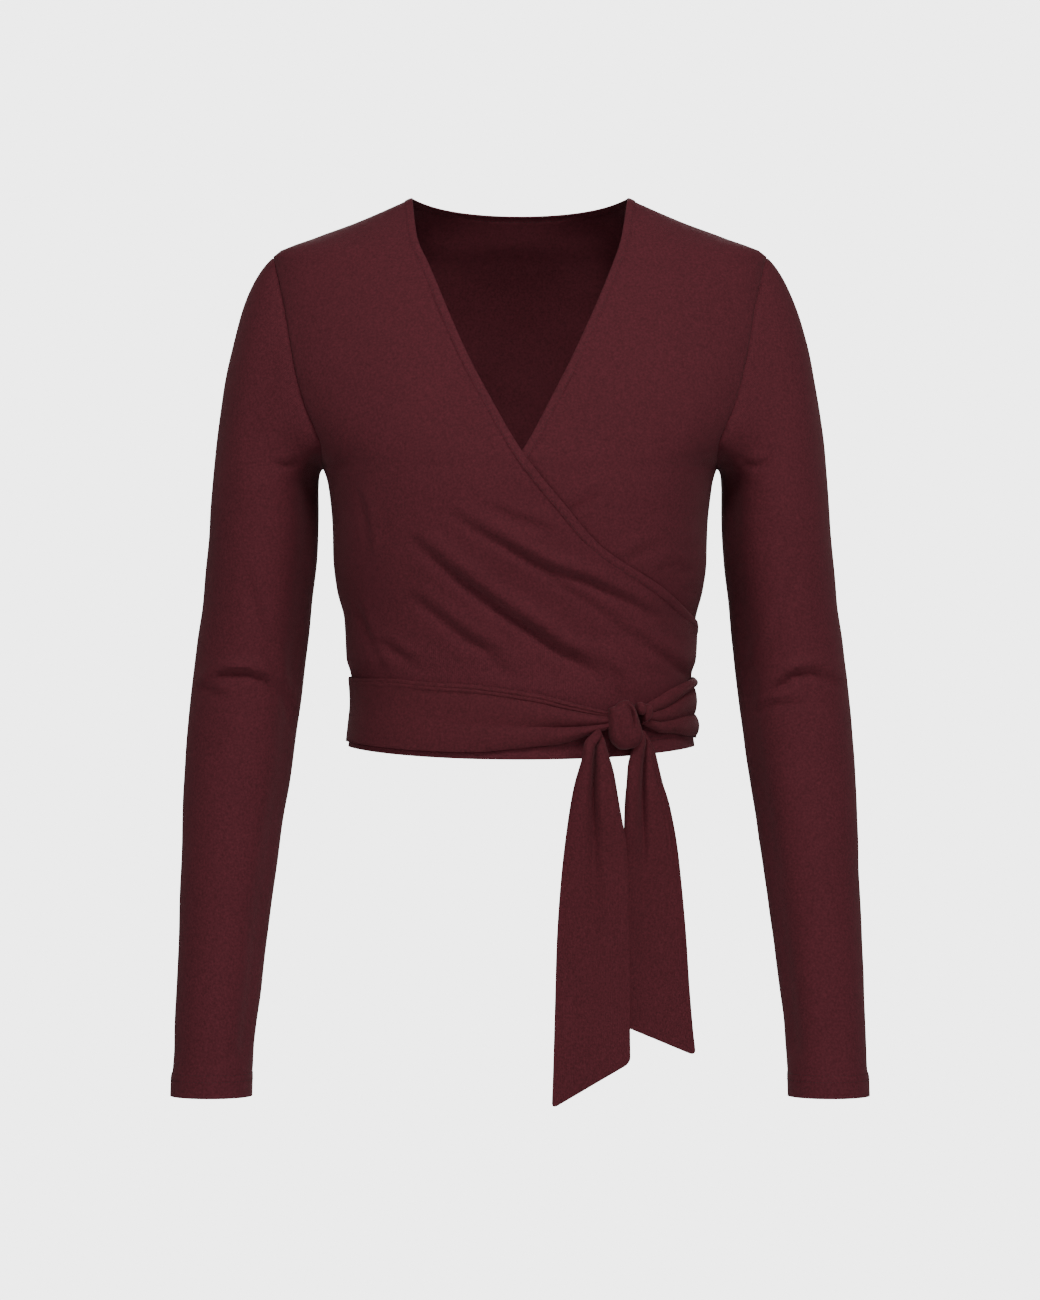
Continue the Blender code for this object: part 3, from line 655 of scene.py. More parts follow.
@dataclass
class StitchRun:
    """Rows of stitches along lines on the cloth, made with Geometry Nodes."""

    name: str
    slot: str
    pitch: float = 2.5
    length: float = 1.7
    thickness: float = 0.36

    def tree(self, thread: bpy.types.Material) -> bpy.types.NodeTree:
        """Build the node tree: points along each line, a stitch on each, made real.

        Args:
            thread: What the stitches are made of.

        Returns:
            The tree, with its sizes as named inputs.
        """
        tree = bpy.data.node_groups.new("stitches_" + self.name, "GeometryNodeTree")
        face = tree.interface
        face.new_socket("Lines", in_out="INPUT", socket_type="NodeSocketGeometry")
        for title in ("Pitch", "Length", "Thickness"):
            face.new_socket(title, in_out="INPUT", socket_type="NodeSocketFloat")
        face.new_socket("Stitches", in_out="OUTPUT", socket_type="NodeSocketGeometry")
        add, join = tree.nodes.new, tree.links.new
        given, result = add("NodeGroupInput"), add("NodeGroupOutput")
        lines, along = add("GeometryNodeMeshToCurve"), add("GeometryNodeResampleCurve")
        along.mode = "LENGTH"
        join(given.outputs["Lines"], lines.inputs[0])
        join(lines.outputs[0], along.inputs["Curve"])
        join(given.outputs["Pitch"], along.inputs["Length"])
        tangent, turn = add("GeometryNodeInputTangent"), add("FunctionNodeAlignRotationToVector")
        turn.axis = "X"
        join(tangent.outputs[0], turn.inputs["Vector"])
        stitch, size = add("GeometryNodeMeshIcoSphere"), add("ShaderNodeCombineXYZ")
        stitch.inputs["Radius"].default_value = 0.5
        stitch.inputs["Subdivisions"].default_value = 2
        join(given.outputs["Length"], size.inputs[0])
        join(given.outputs["Thickness"], size.inputs[1])
        join(given.outputs["Thickness"], size.inputs[2])
        each, real, dress = (add("GeometryNodeInstanceOnPoints"), add("GeometryNodeRealizeInstances"),
                             add("GeometryNodeSetMaterial"))
        join(along.outputs[0], each.inputs["Points"])
        join(stitch.outputs["Mesh"], each.inputs["Instance"])
        join(turn.outputs[0], each.inputs["Rotation"])
        join(size.outputs[0], each.inputs["Scale"])
        join(each.outputs[0], real.inputs[0])
        join(real.outputs[0], dress.inputs["Geometry"])
        dress.inputs["Material"].default_value = thread
        join(dress.outputs[0], result.inputs[0])
        return tree

    def sew(self, lines: Sequence[np.ndarray], thread: bpy.types.Material) -> bpy.types.Object:
        """Sew the rows.

        Args:
            lines: The rows, each a list of points in millimetres.
            thread: What the stitches are made of.

        Returns:
            One piece that holds every stitch.
        """
        points = np.concatenate(lines)
        starts = np.cumsum([0] + [len(line) for line in lines])
        edges = [(i, i + 1) for a, b in zip(starts[:-1], starts[1:]) for i in range(a, b - 1)]
        mesh = bpy.data.meshes.new("lines_" + self.name)
        mesh.from_pydata((points * MM).tolist(), edges, [])
        guide = bpy.data.objects.new("lines_" + self.name, mesh)
        bpy.context.collection.objects.link(guide)
        tree = self.tree(thread)
        maker = guide.modifiers.new("stitches", "NODES")
        maker.node_group = tree
        sizes = {"Pitch": self.pitch, "Length": self.length, "Thickness": self.thickness}
        for socket in tree.interface.items_tree:
            if socket.name in sizes:
                maker[socket.identifier] = sizes[socket.name] * MM
        ready = guide.evaluated_get(bpy.context.evaluated_depsgraph_get())
        sewn = bpy.data.meshes.new_from_object(ready)
        bpy.data.objects.remove(guide)
        piece = bpy.data.objects.new("stitches_" + self.name, sewn)
        bpy.context.collection.objects.link(piece)
        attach(piece, BODY)
        log.info("%s: %d faces", piece.name, len(sewn.polygons))
        return piece


NECK_EDGE = Table("drop over_x under_x", (
    (0.0, -79.5, 79.5), (32.0, -75.3, 74.1), (54.0, -66.1, 66.9), (118.0, -39.1, 39.6),
    (147.0, -24.3, 25.2), (192.0, 1.5, 0.8), (230.0, 31.9, -31.5), (259.0, 57.3, -57.0),
    (290.0, 103.9, -103.9), (312.0, 127.9, -127.9),
))
NECK_EDGE_END = 316.0
HIDDEN_TURN = 84.0
BAND_WIDTH = 6.5


def neck_edge(column: str, side: Side) -> tuple[np.ndarray, np.ndarray]:
    """Trace the free edge of a front from the shoulder to the far side seam.

    Args:
        column: Which front's edge.
        side: The side that it crosses to.

    Returns:
        The turns and the drops of its points.
    """
    drops = np.linspace(0.0, NECK_EDGE_END, 180)
    reach = NECK_EDGE.rows[-1, 0]
    turns = turn_at_x(NECK_EDGE.read(column, drops), drops)
    last = turn_at_x(NECK_EDGE.read(column, reach), reach)
    rest = np.clip((drops - reach) / (NECK_EDGE_END - reach), 0, 1)
    turns = np.where(drops > reach, last + rest * (int(side) * math.pi / 2 - last), turns)
    turns[0] = -int(side) * math.pi / 2
    return turns, drops


def inset(turns: np.ndarray, drops: np.ndarray, face: Face, distance: float,
          inward: Sequence[float]) -> tuple[np.ndarray, np.ndarray]:
    """Move a line over the form by a distance.

    Args:
        turns: The line's turns.
        drops: Its drops.
        face: The front or the back.
        distance: How far to move it.
        inward: A direction on the side that it moves to.

    Returns:
        The moved line's turns and drops.
    """
    points = form(turns, drops, face)
    along = unit(np.gradient(points, axis=0))
    sideways = unit(np.cross(along, form_normal(turns, drops, face)))
    sideways *= np.sign(np.sum(sideways * np.asarray(inward, float), axis=-1, keepdims=True))
    moved = points + distance * sideways
    moved[:, 2] = np.minimum(moved[:, 2], -0.2)
    return turn_of(moved, face), -moved[:, 2]


OVER_EDGE = neck_edge("over_x", Side.LEFT)
BAND_CROWN = 0.55
BAND_LAP = 0.5
BAND_STITCH = 0.80


def band_edges(free: Sequence[np.ndarray], inner: Sequence[np.ndarray], last: float,
               count: int) -> tuple[np.ndarray, np.ndarray]:
    """Space a binding's rows along its two edges.

    Args:
        free: The free edge's turns and drops.
        inner: The inner edge's turns and drops.
        last: The point of the edges, counted from 0, at which the binding ends.
        count: How many rows it has.

    Returns:
        The rows' turns and their drops, each in two columns.
    """
    at, steps = np.linspace(0, last, count), np.arange(len(free[0]))
    turns, drops = (along_path(at, steps, np.stack((free[k], inner[k]), 1)) for k in (0, 1))
    return turns, drops


def band_grid(turns: np.ndarray, drops: np.ndarray, face: Face, level: np.ndarray,
              columns: int = 9) -> tuple[np.ndarray, np.ndarray]:
    """Lay a binding between its two edges, with a soft crown, and find its stitch line.

    Args:
        turns: Turns of the free edge and of the inner edge, in two columns.
        drops: Their drops.
        face: The front or the back.
        level: How far the binding lies out from the form.
        columns: How many points lie across it.

    Returns:
        The grid, and the line that the stitches follow.
    """
    share = np.append(np.linspace(0, 1, columns), BAND_STITCH)
    turn = turns[:, :1] * (1 - share) + turns[:, 1:] * share
    drop = drops[:, :1] * (1 - share) + drops[:, 1:] * share
    crown = BAND_CROWN * (1 - np.abs(2 * share - 1) ** 2.4)
    out = level[:, :1] * (1 - share) + level[:, 1:] * share + crown
    out[:, -1] += BAND_WALL / 2 - 0.12
    grid = lifted(turn, drop, face, out)
    return grid[:, :-1], grid[:, -1]


@dataclass
class Front:
    """A front and the binding along its neck edge."""

    panel: Cloth
    band: Cloth
    column: str
    side: Side
    rows: Table
    columns: int
    reach: float
    band_reach: float
    folds: tuple[Fold, ...] = ()
    refine: int = 4
    band_rows: int = 190
    hem_dip: float = 8.0
    hem_stitches: tuple[float, ...] = (9.5, 12.5)
    lap_ease: tuple[float, float] = (3.0, 24.0)
    sash_ease: tuple[float, float] = (5.0, 9.0)
    unevenness: float = 0.45
    calm_edge: float = 12.0

    def level(self, turn: np.ndarray, drop: np.ndarray) -> np.ndarray:
        """Say how far the cloth lies out from the form."""
        if self.side == Side.LEFT:
            return over_lift(turn)
        lap = drop - np.interp(turn, *OVER_EDGE)
        eased = ease((lap - self.lap_ease[0]) / self.lap_ease[1])
        return over_lift(turn) - LAYER_STEP - HIDDEN_EASE * eased

    def build(self, jersey: bpy.types.Material, binding: bpy.types.Material) -> list[np.ndarray]:
        """Make the panel and its binding.

        Args:
            jersey: The panel's cloth.
            binding: The binding's cloth.

        Returns:
            The binding's stitch line.
        """
        seam = finer(self.rows.column("seam"), self.refine)
        edge = finer(self.rows.column("edge"), self.refine)
        side = int(self.side)
        free = neck_edge(self.column, self.side)
        raw = inset(*free, Face.FRONT, BAND_WIDTH - BAND_LAP, (-side, 0, -1))
        inner = inset(*free, Face.FRONT, BAND_WIDTH, (-side, 0, -1))
        limit = seam_turn(edge, Face.FRONT)
        far = np.clip(np.interp(edge, raw[1], raw[0], right=side * math.pi / 2), -limit, limit)
        far = side * np.minimum(side * far, self.reach)
        near = -side * seam_turn(seam, Face.FRONT)
        share = seam_shares(self.columns * self.refine, both=True)
        turn = near[:, None] * (1 - share) + far[:, None] * share
        drop = seam[:, None] * (1 - share) + edge[:, None] * share
        drop = drop + hem_fall(turn, drop, seam[-1], self.hem_dip)
        level = self.level(turn, drop)
        plain = lifted(turn, drop, Face.FRONT, level)
        along = lengths(plain, 1)
        sunk = turned_in(along)
        at_side = (edge > NECK_EDGE_END)[:, None] & (self.side == Side.LEFT)
        sunk = sunk + np.where(at_side, turned_in(along[:, -1:] - along), 0)
        below_sash = drop - SASH_TOP.read("drop", plain[..., 0])
        free_part = 1 - ease((below_sash + self.sash_ease[0]) / self.sash_ease[1])
        push = fold_push(plain[..., 0], drop, self.folds)
        uneven = waver(plain, self.unevenness) * ease(along / self.calm_edge)
        level = level + sunk + free_part * (push + uneven)
        self.panel.sew(lifted(turn, drop, Face.FRONT, level), jersey)
        last = np.interp(self.band_reach, side * free[0], np.arange(len(free[0])))
        turns, drops = band_edges(free, inner, last, self.band_rows)
        limit = seam_turn(drops, Face.FRONT)
        turns = np.clip(turns, -limit, limit)
        drops = np.maximum(drops, SEAM_SLIT)
        grid, line = band_grid(turns, drops, Face.FRONT, self.level(turns, drops))
        self.band.sew(grid, binding)
        return [line]

    def hem_rows(self) -> list[np.ndarray]:
        """Trace the hem's two rows of stitches."""
        return hem_lines(Face.FRONT, self.rows.column("seam")[-1], self.hem_dip, self.hem_stitches)


@dataclass
class Back:
    """The back and the binding along its neck."""

    panel: Cloth
    band: Cloth
    rows: tuple[float, ...] = (2.7, 12, 27, 43.5, 75, 110, 145, 172, 200, 235, 275, 315, 350, 365,
                               380, 393, 407)
    columns: int = 14
    refine: int = 6
    band_rows: int = 120
    neck_dip: float = 8.5
    neck_fade: float = 60.0
    hem_dip: float = 3.0
    hem_stitches: tuple[float, ...] = (3.0, 5.0)
    sash_ease: tuple[float, float] = (345.0, 15.0)
    unevenness: float = 0.8
    calm_edge: float = 14.0

    def build(self, jersey: bpy.types.Material, binding: bpy.types.Material) -> list[np.ndarray]:
        """Make the panel and its binding.

        Args:
            jersey: The panel's cloth.
            binding: The binding's cloth.

        Returns:
            The binding's stitch lines, outside and inside.
        """
        rows = finer(self.rows, self.refine)
        limit = seam_turn(rows, Face.BACK)[:, None]
        turn = limit * (2 * seam_shares(self.columns * self.refine, both=True) - 1)
        edge = np.linspace(-math.pi / 2, math.pi / 2, 181)
        dip = self.neck_dip * np.cos(edge) ** 3
        raw = inset(edge, dip, Face.BACK, BAND_WIDTH - BAND_LAP, (0, 0, -1))
        inner = inset(edge, dip, Face.BACK, BAND_WIDTH, (0, 0, -1))
        top = np.maximum(np.interp(turn, *raw) - rows[0], 0)
        drop = rows[:, None] + top * (1 - ease(rows / self.neck_fade))[:, None]
        drop += hem_fall(turn, drop, rows[-1], self.hem_dip)
        plain = form(turn, drop, Face.BACK)
        along = lengths(plain, 1)
        back_along = along[:, -1:] - along
        level = turned_in(along) + turned_in(back_along)
        free_part = 1 - ease((drop - self.sash_ease[0]) / self.sash_ease[1])
        beside = ease(np.minimum(along, back_along) / self.calm_edge)
        level += free_part * waver(plain, self.unevenness, seed=11) * beside
        self.panel.sew(lifted(turn, drop, Face.BACK, level), jersey)
        turns, drops = band_edges((edge, dip), inner, len(edge) - 1, self.band_rows)
        end = seam_turn(drops, Face.BACK)
        turns = np.clip(turns, -end, end)
        grid, line = band_grid(turns, drops, Face.BACK, np.zeros_like(turns))
        self.band.sew(grid, binding)
        outward = form_normal(turn_of(line, Face.BACK), -line[:, 2], Face.BACK)
        return [line, line - outward * (BAND_WALL + 0.1)]

    def hem_rows(self) -> list[np.ndarray]:
        """Trace the hem's two rows of stitches."""
        return hem_lines(Face.BACK, self.rows[-1], self.hem_dip, self.hem_stitches)


SLEEVE = Table("drop centre_x half_width centre_y half_depth", (
    (215.0, 188.3, 39.0, 2, 50), (240.0, 189.2, 40.3, 3, 49), (268.0, 191.0, 40.6, 4, 47.5),
    (300.0, 194.0, 40.1, 5, 46), (330.0, 198.0, 40.8, 5, 44.5), (357.0, 201.3, 40.8, 4, 43),
    (401.0, 205.8, 40.3, 0, 41), (431.0, 208.5, 39.0, -4, 39.5), (460.0, 211.3, 37.0, -8, 38),
    (490.0, 214.0, 35.4, -13, 36.5), (520.0, 216.7, 33.8, -18, 35), (549.0, 218.7, 32.3, -22, 33.5),
    (579.0, 220.8, 31.2, -27, 32), (608.0, 223.2, 29.7, -31, 30.5), (641.0, 225.0, 28.8, -36, 29.5),
    (646.0, 225.5, 29.6, -37, 30), (660.0, 225.9, 29.6, -38.5, 30),
))


@dataclass
class Sleeve:
    """A sleeve: a cap curved from the armhole to the upper arm, then a tapering tube."""

    cloth: Cloth
    side: Side
    folds: tuple[Fold, ...]
    segments: int = 84
    cap_rows: int = 40
    start: float = 215.0
    end: float = 660.0
    cuff_stitches: tuple[float, ...] = (12.0, 16.8)
    inner_dent: tuple[float, float] = (2.62, 0.42)
    inner_depth: float = 4.2
    cap_leaving: tuple[float, float, float] = (0.75, 0.0, -0.66)
    underarm_leaving: tuple[float, float, float] = (0.9, 0.0, -0.35)
    cap_arriving: tuple[float, float, float] = (0.07, 0.0, -1.0)
    cap_forward: float = 0.35
    cap_reach: float = 0.9
    crown_ease: float = 0.22
    cap_start: float = 0.1
    cap_nip: float = 0.3
    unevenness: float = 0.55
    calm_seam: float = 14.0
    calm_cuff: tuple[float, float] = (620.0, 20.0)
    dent_start: tuple[float, float] = (170.0, 60.0)
    seam_reach: float = 2.5

    def armhole(self, thetas: np.ndarray) -> tuple[np.ndarray, ...]:
        """Trace the left armhole from the shoulder point down the front and up the back.

        Args:
            thetas: How far round each point lies.

        Returns:
            The points, the way the sleeve leaves each, and the way out from the form there.
        """
        drops = np.linspace(SHOULDER_DROP + 0.01, UNDERARM_DROP - 0.01, 120)
        points, leaving, outward = [], [], []
        for face, share in ((Face.FRONT, thetas / math.pi), (Face.BACK, 2 - thetas / math.pi)):
            turns = seam_turn(drops, face, 0.0)
            line = form(turns, drops, face)
            steps = path_lengths(line)
            at = np.clip(share, 0, 1) * steps[-1]
            normals = form_normal(turns, drops, face)
            out = unit(np.cross(np.gradient(line, axis=0), normals))
            out *= np.sign(out[:, :1] + 1e-6)
            points.append(along_path(at, steps, line))
            leaving.append(along_path(at, steps, out))
            outward.append(along_path(at, steps, normals))
        on_front = (thetas <= math.pi)[:, None]
        return tuple(np.where(on_front, *pair) for pair in (points, leaving, outward))

    def ring(self, thetas: np.ndarray, drop: float) -> np.ndarray:
        """Trace the sleeve at one drop: outer side, front, inner side, back."""
        wide = SLEEVE.read("half_width", drop) * np.cos(thetas)
        deep = SLEEVE.read("half_depth", drop) * np.sin(thetas)
        return np.stack((SLEEVE.read("centre_x", drop) + wide, SLEEVE.read("centre_y", drop) - deep,
                         np.full(len(thetas), -float(drop))), axis=-1)

    def cap(self, thetas: np.ndarray) -> tuple[list[np.ndarray], np.ndarray]:
        """Curve the cap from the armhole to the first ring.

        Args:
            thetas: How far round each point lies.

        Returns:
            The cap's rows, and the way out from the form along the armhole.
        """
        start, leaving, outward = self.armhole(thetas)
        end = self.ring(thetas, self.start)
        follow = (np.cos(thetas / 2) ** 2)[:, None]
        forward = -np.sin(thetas)[:, None] * np.array((0.0, self.cap_forward, 0.0))
        leaving = unit(follow * leaving + (1 - follow) * (np.array(self.underarm_leaving) + forward))
        crown = ease((np.cos(thetas) - 0.1) / 0.9)[:, None]
        leaving = unit(crown * (np.array(self.cap_leaving) + forward) + (1 - crown) * leaving)
        reach = self.cap_reach - self.crown_ease * crown
        nip = ease((-np.cos(thetas) - 0.2) / 0.8)[:, None]
        start = start + leaving * (self.cap_start + self.cap_nip * nip)
        length = np.linalg.norm(end - start, axis=1, keepdims=True)
        down = np.array(self.cap_arriving)
        rows = [(1 + 2 * t) * (1 - t) ** 2 * start + t * (1 - t) ** 2 * reach * length * leaving
                + t * t * (3 - 2 * t) * end - t * t * (1 - t) * self.cap_reach * length * down
                for t in seam_shares(self.cap_rows)[:-1]]
        return rows, outward

    def creased(self, grid: np.ndarray, thetas: np.ndarray, outward: np.ndarray) -> np.ndarray:
        """Work the folds, the seam's turn and the uneven rise and fall into the smooth sleeve.

        Args:
            grid: The smooth sleeve's points.
            thetas: How far round each column lies.
            outward: The way out from the form along the armhole.

        Returns:
            The moved points.
        """
        drop = -grid[..., 2]
        facing = np.clip(np.sin(thetas), 0, 1) ** 0.5
        push = fold_push(int(self.side) * grid[..., 0], drop, self.folds) * facing
        away = lengths(grid, 0)
        calm = 1 - ease((drop - self.calm_cuff[0]) / self.calm_cuff[1])
        inner = np.exp(-((thetas - self.inner_dent[0]) / self.inner_dent[1]) ** 2)
        dented = ease((drop - self.dent_start[0]) / self.dent_start[1])
        push -= self.inner_depth * inner * dented * calm
        uneven = waver(grid, self.unevenness, seed=20 + int(self.side))
        push += turned_in(away) + uneven * ease(away / self.calm_seam) * calm
        beside = np.exp(-(away / self.seam_reach) ** 2)[..., None]
        direction = unit(beside * outward + (1 - beside) * grid_normals(grid, ring=True))
        return grid + push[..., None] * direction

    def build(self, jersey: bpy.types.Material) -> None:
        """Make the sleeve."""
        thetas = np.arange(self.segments) * 2 * math.pi / self.segments
        rows, outward = self.cap(thetas)
        rows += [self.ring(thetas, drop) for drop in self.ring_drops()]
        grid = self.creased(np.array(rows), thetas, outward)
        grid[..., 0] *= int(self.side)
        if self.side == Side.RIGHT:
            grid = grid[:, ::-1]
        self.cloth.sew(grid, jersey, ring=True)

    def ring_drops(self) -> np.ndarray:
        """Space the rings below the cap, closer at the cuff's step."""
        return np.concatenate((np.arange(self.start, 636, 3.2), np.arange(637.5, 650, 1.1),
                               np.arange(651, self.end - 1, 2.2), (self.end - 0.6, self.end)))

    def cuff_rows(self) -> list[np.ndarray]:
        """Trace the cuff's two rows of stitches."""
        thetas = np.linspace(0, 2 * math.pi, 140)
        rows = []
        for up in self.cuff_stitches:
            ring = self.ring(thetas, self.end - up)
            ring[:, :2] += STITCH_LEVEL * np.stack((np.cos(thetas), -np.sin(thetas)), -1)
            ring[:, 0] *= int(self.side)
            rows.append(ring)
        return rows


SASH_EASE = 0.25
SASH_REST = JERSEY_WALL / 2 + SEAM_GAP + SASH_EASE + SASH_WALL / 2


@dataclass
class SashFront:
    """A stretch of the sash on the front, whose folds lie between its table's lines."""

    cloth: Cloth
    table: Table
    lines: tuple[str, ...]
    swells: tuple[str, ...]
    first: float | None = None
    last: float | None = None
    columns: int = 110
    per_fold: int = 9
    sharpness: float = 0.75

    def build(self, jersey: bpy.types.Material) -> None:
        """Make the stretch."""
        xs = self.table.column("x")
        ends = turn_at_x(xs[[0, -1]], SASH_DROP)
        first = ends[0] if self.first is None else self.first
        last = ends[1] if self.last is None else self.last
        turn_line = np.linspace(first, last, self.columns)
        at_x = np.clip(TORSO.read("half_width", SASH_DROP) * round_x(turn_line), xs[0], xs[-1])
        edges = np.stack([self.table.read(line, at_x) for line in self.lines])
        heights = np.stack([self.table.read(swell, at_x) for swell in self.swells])
        folds = len(self.lines) - 1
        share = np.linspace(0, folds, folds * self.per_fold + 1)
        low = np.minimum(share.astype(int), folds - 1)
        part = (share - low)[:, None]
        drop = edges[low] * (1 - part) + edges[low + 1] * part
        turn = np.broadcast_to(turn_line, drop.shape)
        swell = heights[low] * np.abs(np.sin(math.pi * part)) ** self.sharpness
        plain = lifted(turn, drop, Face.FRONT, SASH_REST + over_lift(turn))
        lift = self.table.read("rise", at_x) + swell + waver(plain, 0.25, seed=5)
        level = SASH_REST + over_lift(turn) + lift + SASH_EASE
        self.cloth.sew(lifted(turn, drop, Face.FRONT, level), jersey)


@dataclass
class SashBack:
    """The stretch of the sash across the back."""

    cloth: Cloth
    top: float = 353.5
    height: float = 46.0

    def build(self, jersey: bpy.types.Material) -> None:
        """Make the stretch."""
        limit = seam_turn(SASH_DROP, Face.BACK)
        turn, share = np.meshgrid(np.linspace(-limit, limit, 85), np.linspace(0, 1, 15))
        lift = SASH_REST + LAYER_STEP * ease((turn / limit - 0.4) / 0.6)
        self.cloth.sew(lifted(turn, self.top + share * self.height, Face.BACK, lift), jersey)


@dataclass
class Pad:
    """A turned loop of the sash in the knot: an outline filled out to the front and the back."""

    node: str
    centre: tuple[float, float]
    outline: tuple[tuple[float, float], ...]
    depth: float
    seat: float
    swing: float
    tilt: float = 0.0
    folds: tuple[Fold, ...] = ()
    rings: int = 22
    segments: int = 96
    fullness: float = 2.6

    def shell(self) -> tuple[np.ndarray, list[tuple[int, ...]]]:
        """Place the pad's points and list its faces.

        Returns:
            The points, in millimetres, and the faces.
        """
        turn = turn_at_x(self.centre[0], self.centre[1])
        normal = form_normal(turn, self.centre[1], Face.FRONT)
        heading = math.atan2(normal[0], -normal[1]) * self.swing
        normal = np.array((math.sin(heading), -math.cos(heading), self.tilt))
        along = unit(np.array((-normal[1], normal[0], 0.0)))
        seat = lifted(turn, self.centre[1], Face.FRONT, over_lift(turn) + self.seat + self.depth)
        rim = np.array(self.outline + self.outline[:1], float)
        steps = path_lengths(rim)
        at = np.arange(self.segments) * steps[-1] / self.segments
        wrapped = np.concatenate((steps[-4:-1] - steps[-1], steps, steps[1:4] + steps[-1]))
        rounded = np.concatenate((rim[-4:-1], rim, rim[1:4]))
        rim = np.stack([smooth(wrapped, rounded[:, k], at) for k in (0, 1)], -1)
        reach = rim - np.array(self.centre)
        rows = []
        for r in range(1, 2 * self.rings):
            angle = math.pi * r / (2 * self.rings)
            share = math.sin(angle) ** (2 / self.fullness)
            height = math.copysign(abs(math.cos(angle)) ** (2 / self.fullness), math.cos(angle))
            flat = np.array(self.centre) + reach * share
            rise = np.full(self.segments, height * self.depth)
            if height > 0:
                rise += fold_push(flat[:, 0], flat[:, 1], self.folds) * min(1.0, 2.5 * height)
            rows.append(seat + along * (flat[:, :1] - self.centre[0]) + normal * rise[:, None]
                        - np.array((0, 0, 1.0)) * (flat[:, 1:] - self.centre[1]))
        front, back = seat + normal * self.depth, seat - normal * self.depth
        count = len(rows) * self.segments
        faces = grid_faces(len(rows), self.segments, ring=True)
        faces += [(count, (k + 1) % self.segments, k) for k in range(self.segments)]
        last = count - self.segments
        faces += [(count + 1, last + k, last + (k + 1) % self.segments) for k in range(self.segments)]
        return np.concatenate((*rows, front[None], back[None])), faces


@dataclass
class Knot:
    """The knot's loops that stand for one node, as one piece."""

    node: str
    pads: tuple[Pad, ...]

    def build(self, jersey: bpy.types.Material) -> None:
        """Make the loops."""
        points, faces, count = [], [], 0
        for pad in self.pads:
            shell, sides = pad.shell()
            points.append(shell)
            faces += [tuple(i + count for i in side) for side in sides]
            count += len(shell)
        piece = place("cloth_" + self.node, np.concatenate(points), faces, jersey)
        around = np.concatenate(points) * MM
        corners = np.array([loop.vertex_index for loop in piece.data.loops])
        layer = piece.data.uv_layers.new(name="cloth")
        layer.data.foreach_set("uv", around[corners][:, [0, 2]].reshape(-1).astype(np.float32))
        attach(piece, BODY)
        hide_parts(self.node)
        log.info("%s: %d points", piece.name, len(piece.data.vertices))


@dataclass
class Tail:
    """A free end of the sash, pleated at the knot and cut on the slant."""

    cloth: Cloth
    table: Table
    lines: tuple[float, ...] = ()
    columns: int = 46
    parts: int = 13
    crease: float = 0.1
    edge_fall: float = 0.55
    line_height: float = 0.16
    line_width: float = 0.018
    corner: float = 4.0
    unevenness: float = 0.6
    calm_top: tuple[float, float] = (400.0, 60.0)
    seed: int = 3

    def build(self, jersey: bpy.types.Material) -> None:
        """Make the free end."""
        steps = finer(self.table.column("step"), self.parts)
        read = {name: self.table.read(name, steps)[:, None] for name in self.table.columns[1:]}
        near = np.array((0, 0.006, 0.015, 0.028, 0.046))
        share = np.concatenate((near, np.linspace(0.068, 0.932, self.columns), 1 - near[::-1]))
        x = read["x_left"] * (1 - share) + read["x_right"] * share
        drop = read["drop_left"] * (1 - share) + read["drop_right"] * share
        y = read["y_left"] * (1 - share) + read["y_right"] * share
        swell = 1 - np.exp(-((share - read["valley"]) / self.crease) ** 2)
        swell -= self.edge_fall * np.abs(2 * share - 1) ** 7
        y = y - read["pleat"] * swell
        for line in self.lines:
            y = y + self.line_height * read["pleat"] * np.exp(-((share - line) / self.line_width) ** 2)
        near_side = np.clip(np.minimum(x - read["x_left"], read["x_right"] - x), 0, self.corner)
        rounded = self.corner - np.sqrt(self.corner ** 2 - (self.corner - near_side) ** 2)
        to_end = lengths(np.stack((x, y, -drop), axis=-1)[::-1], 0)[::-1]
        drop = drop - rounded * (1 - ease(to_end / (5 * self.corner)))
        grid = np.stack((x, y, -drop), axis=-1)
        loose = ease((drop - self.calm_top[0]) / self.calm_top[1])
        grid[..., 1] += waver(grid, self.unevenness, self.seed) * loose
        self.cloth.sew(grid, jersey)


# ---- The studio ----

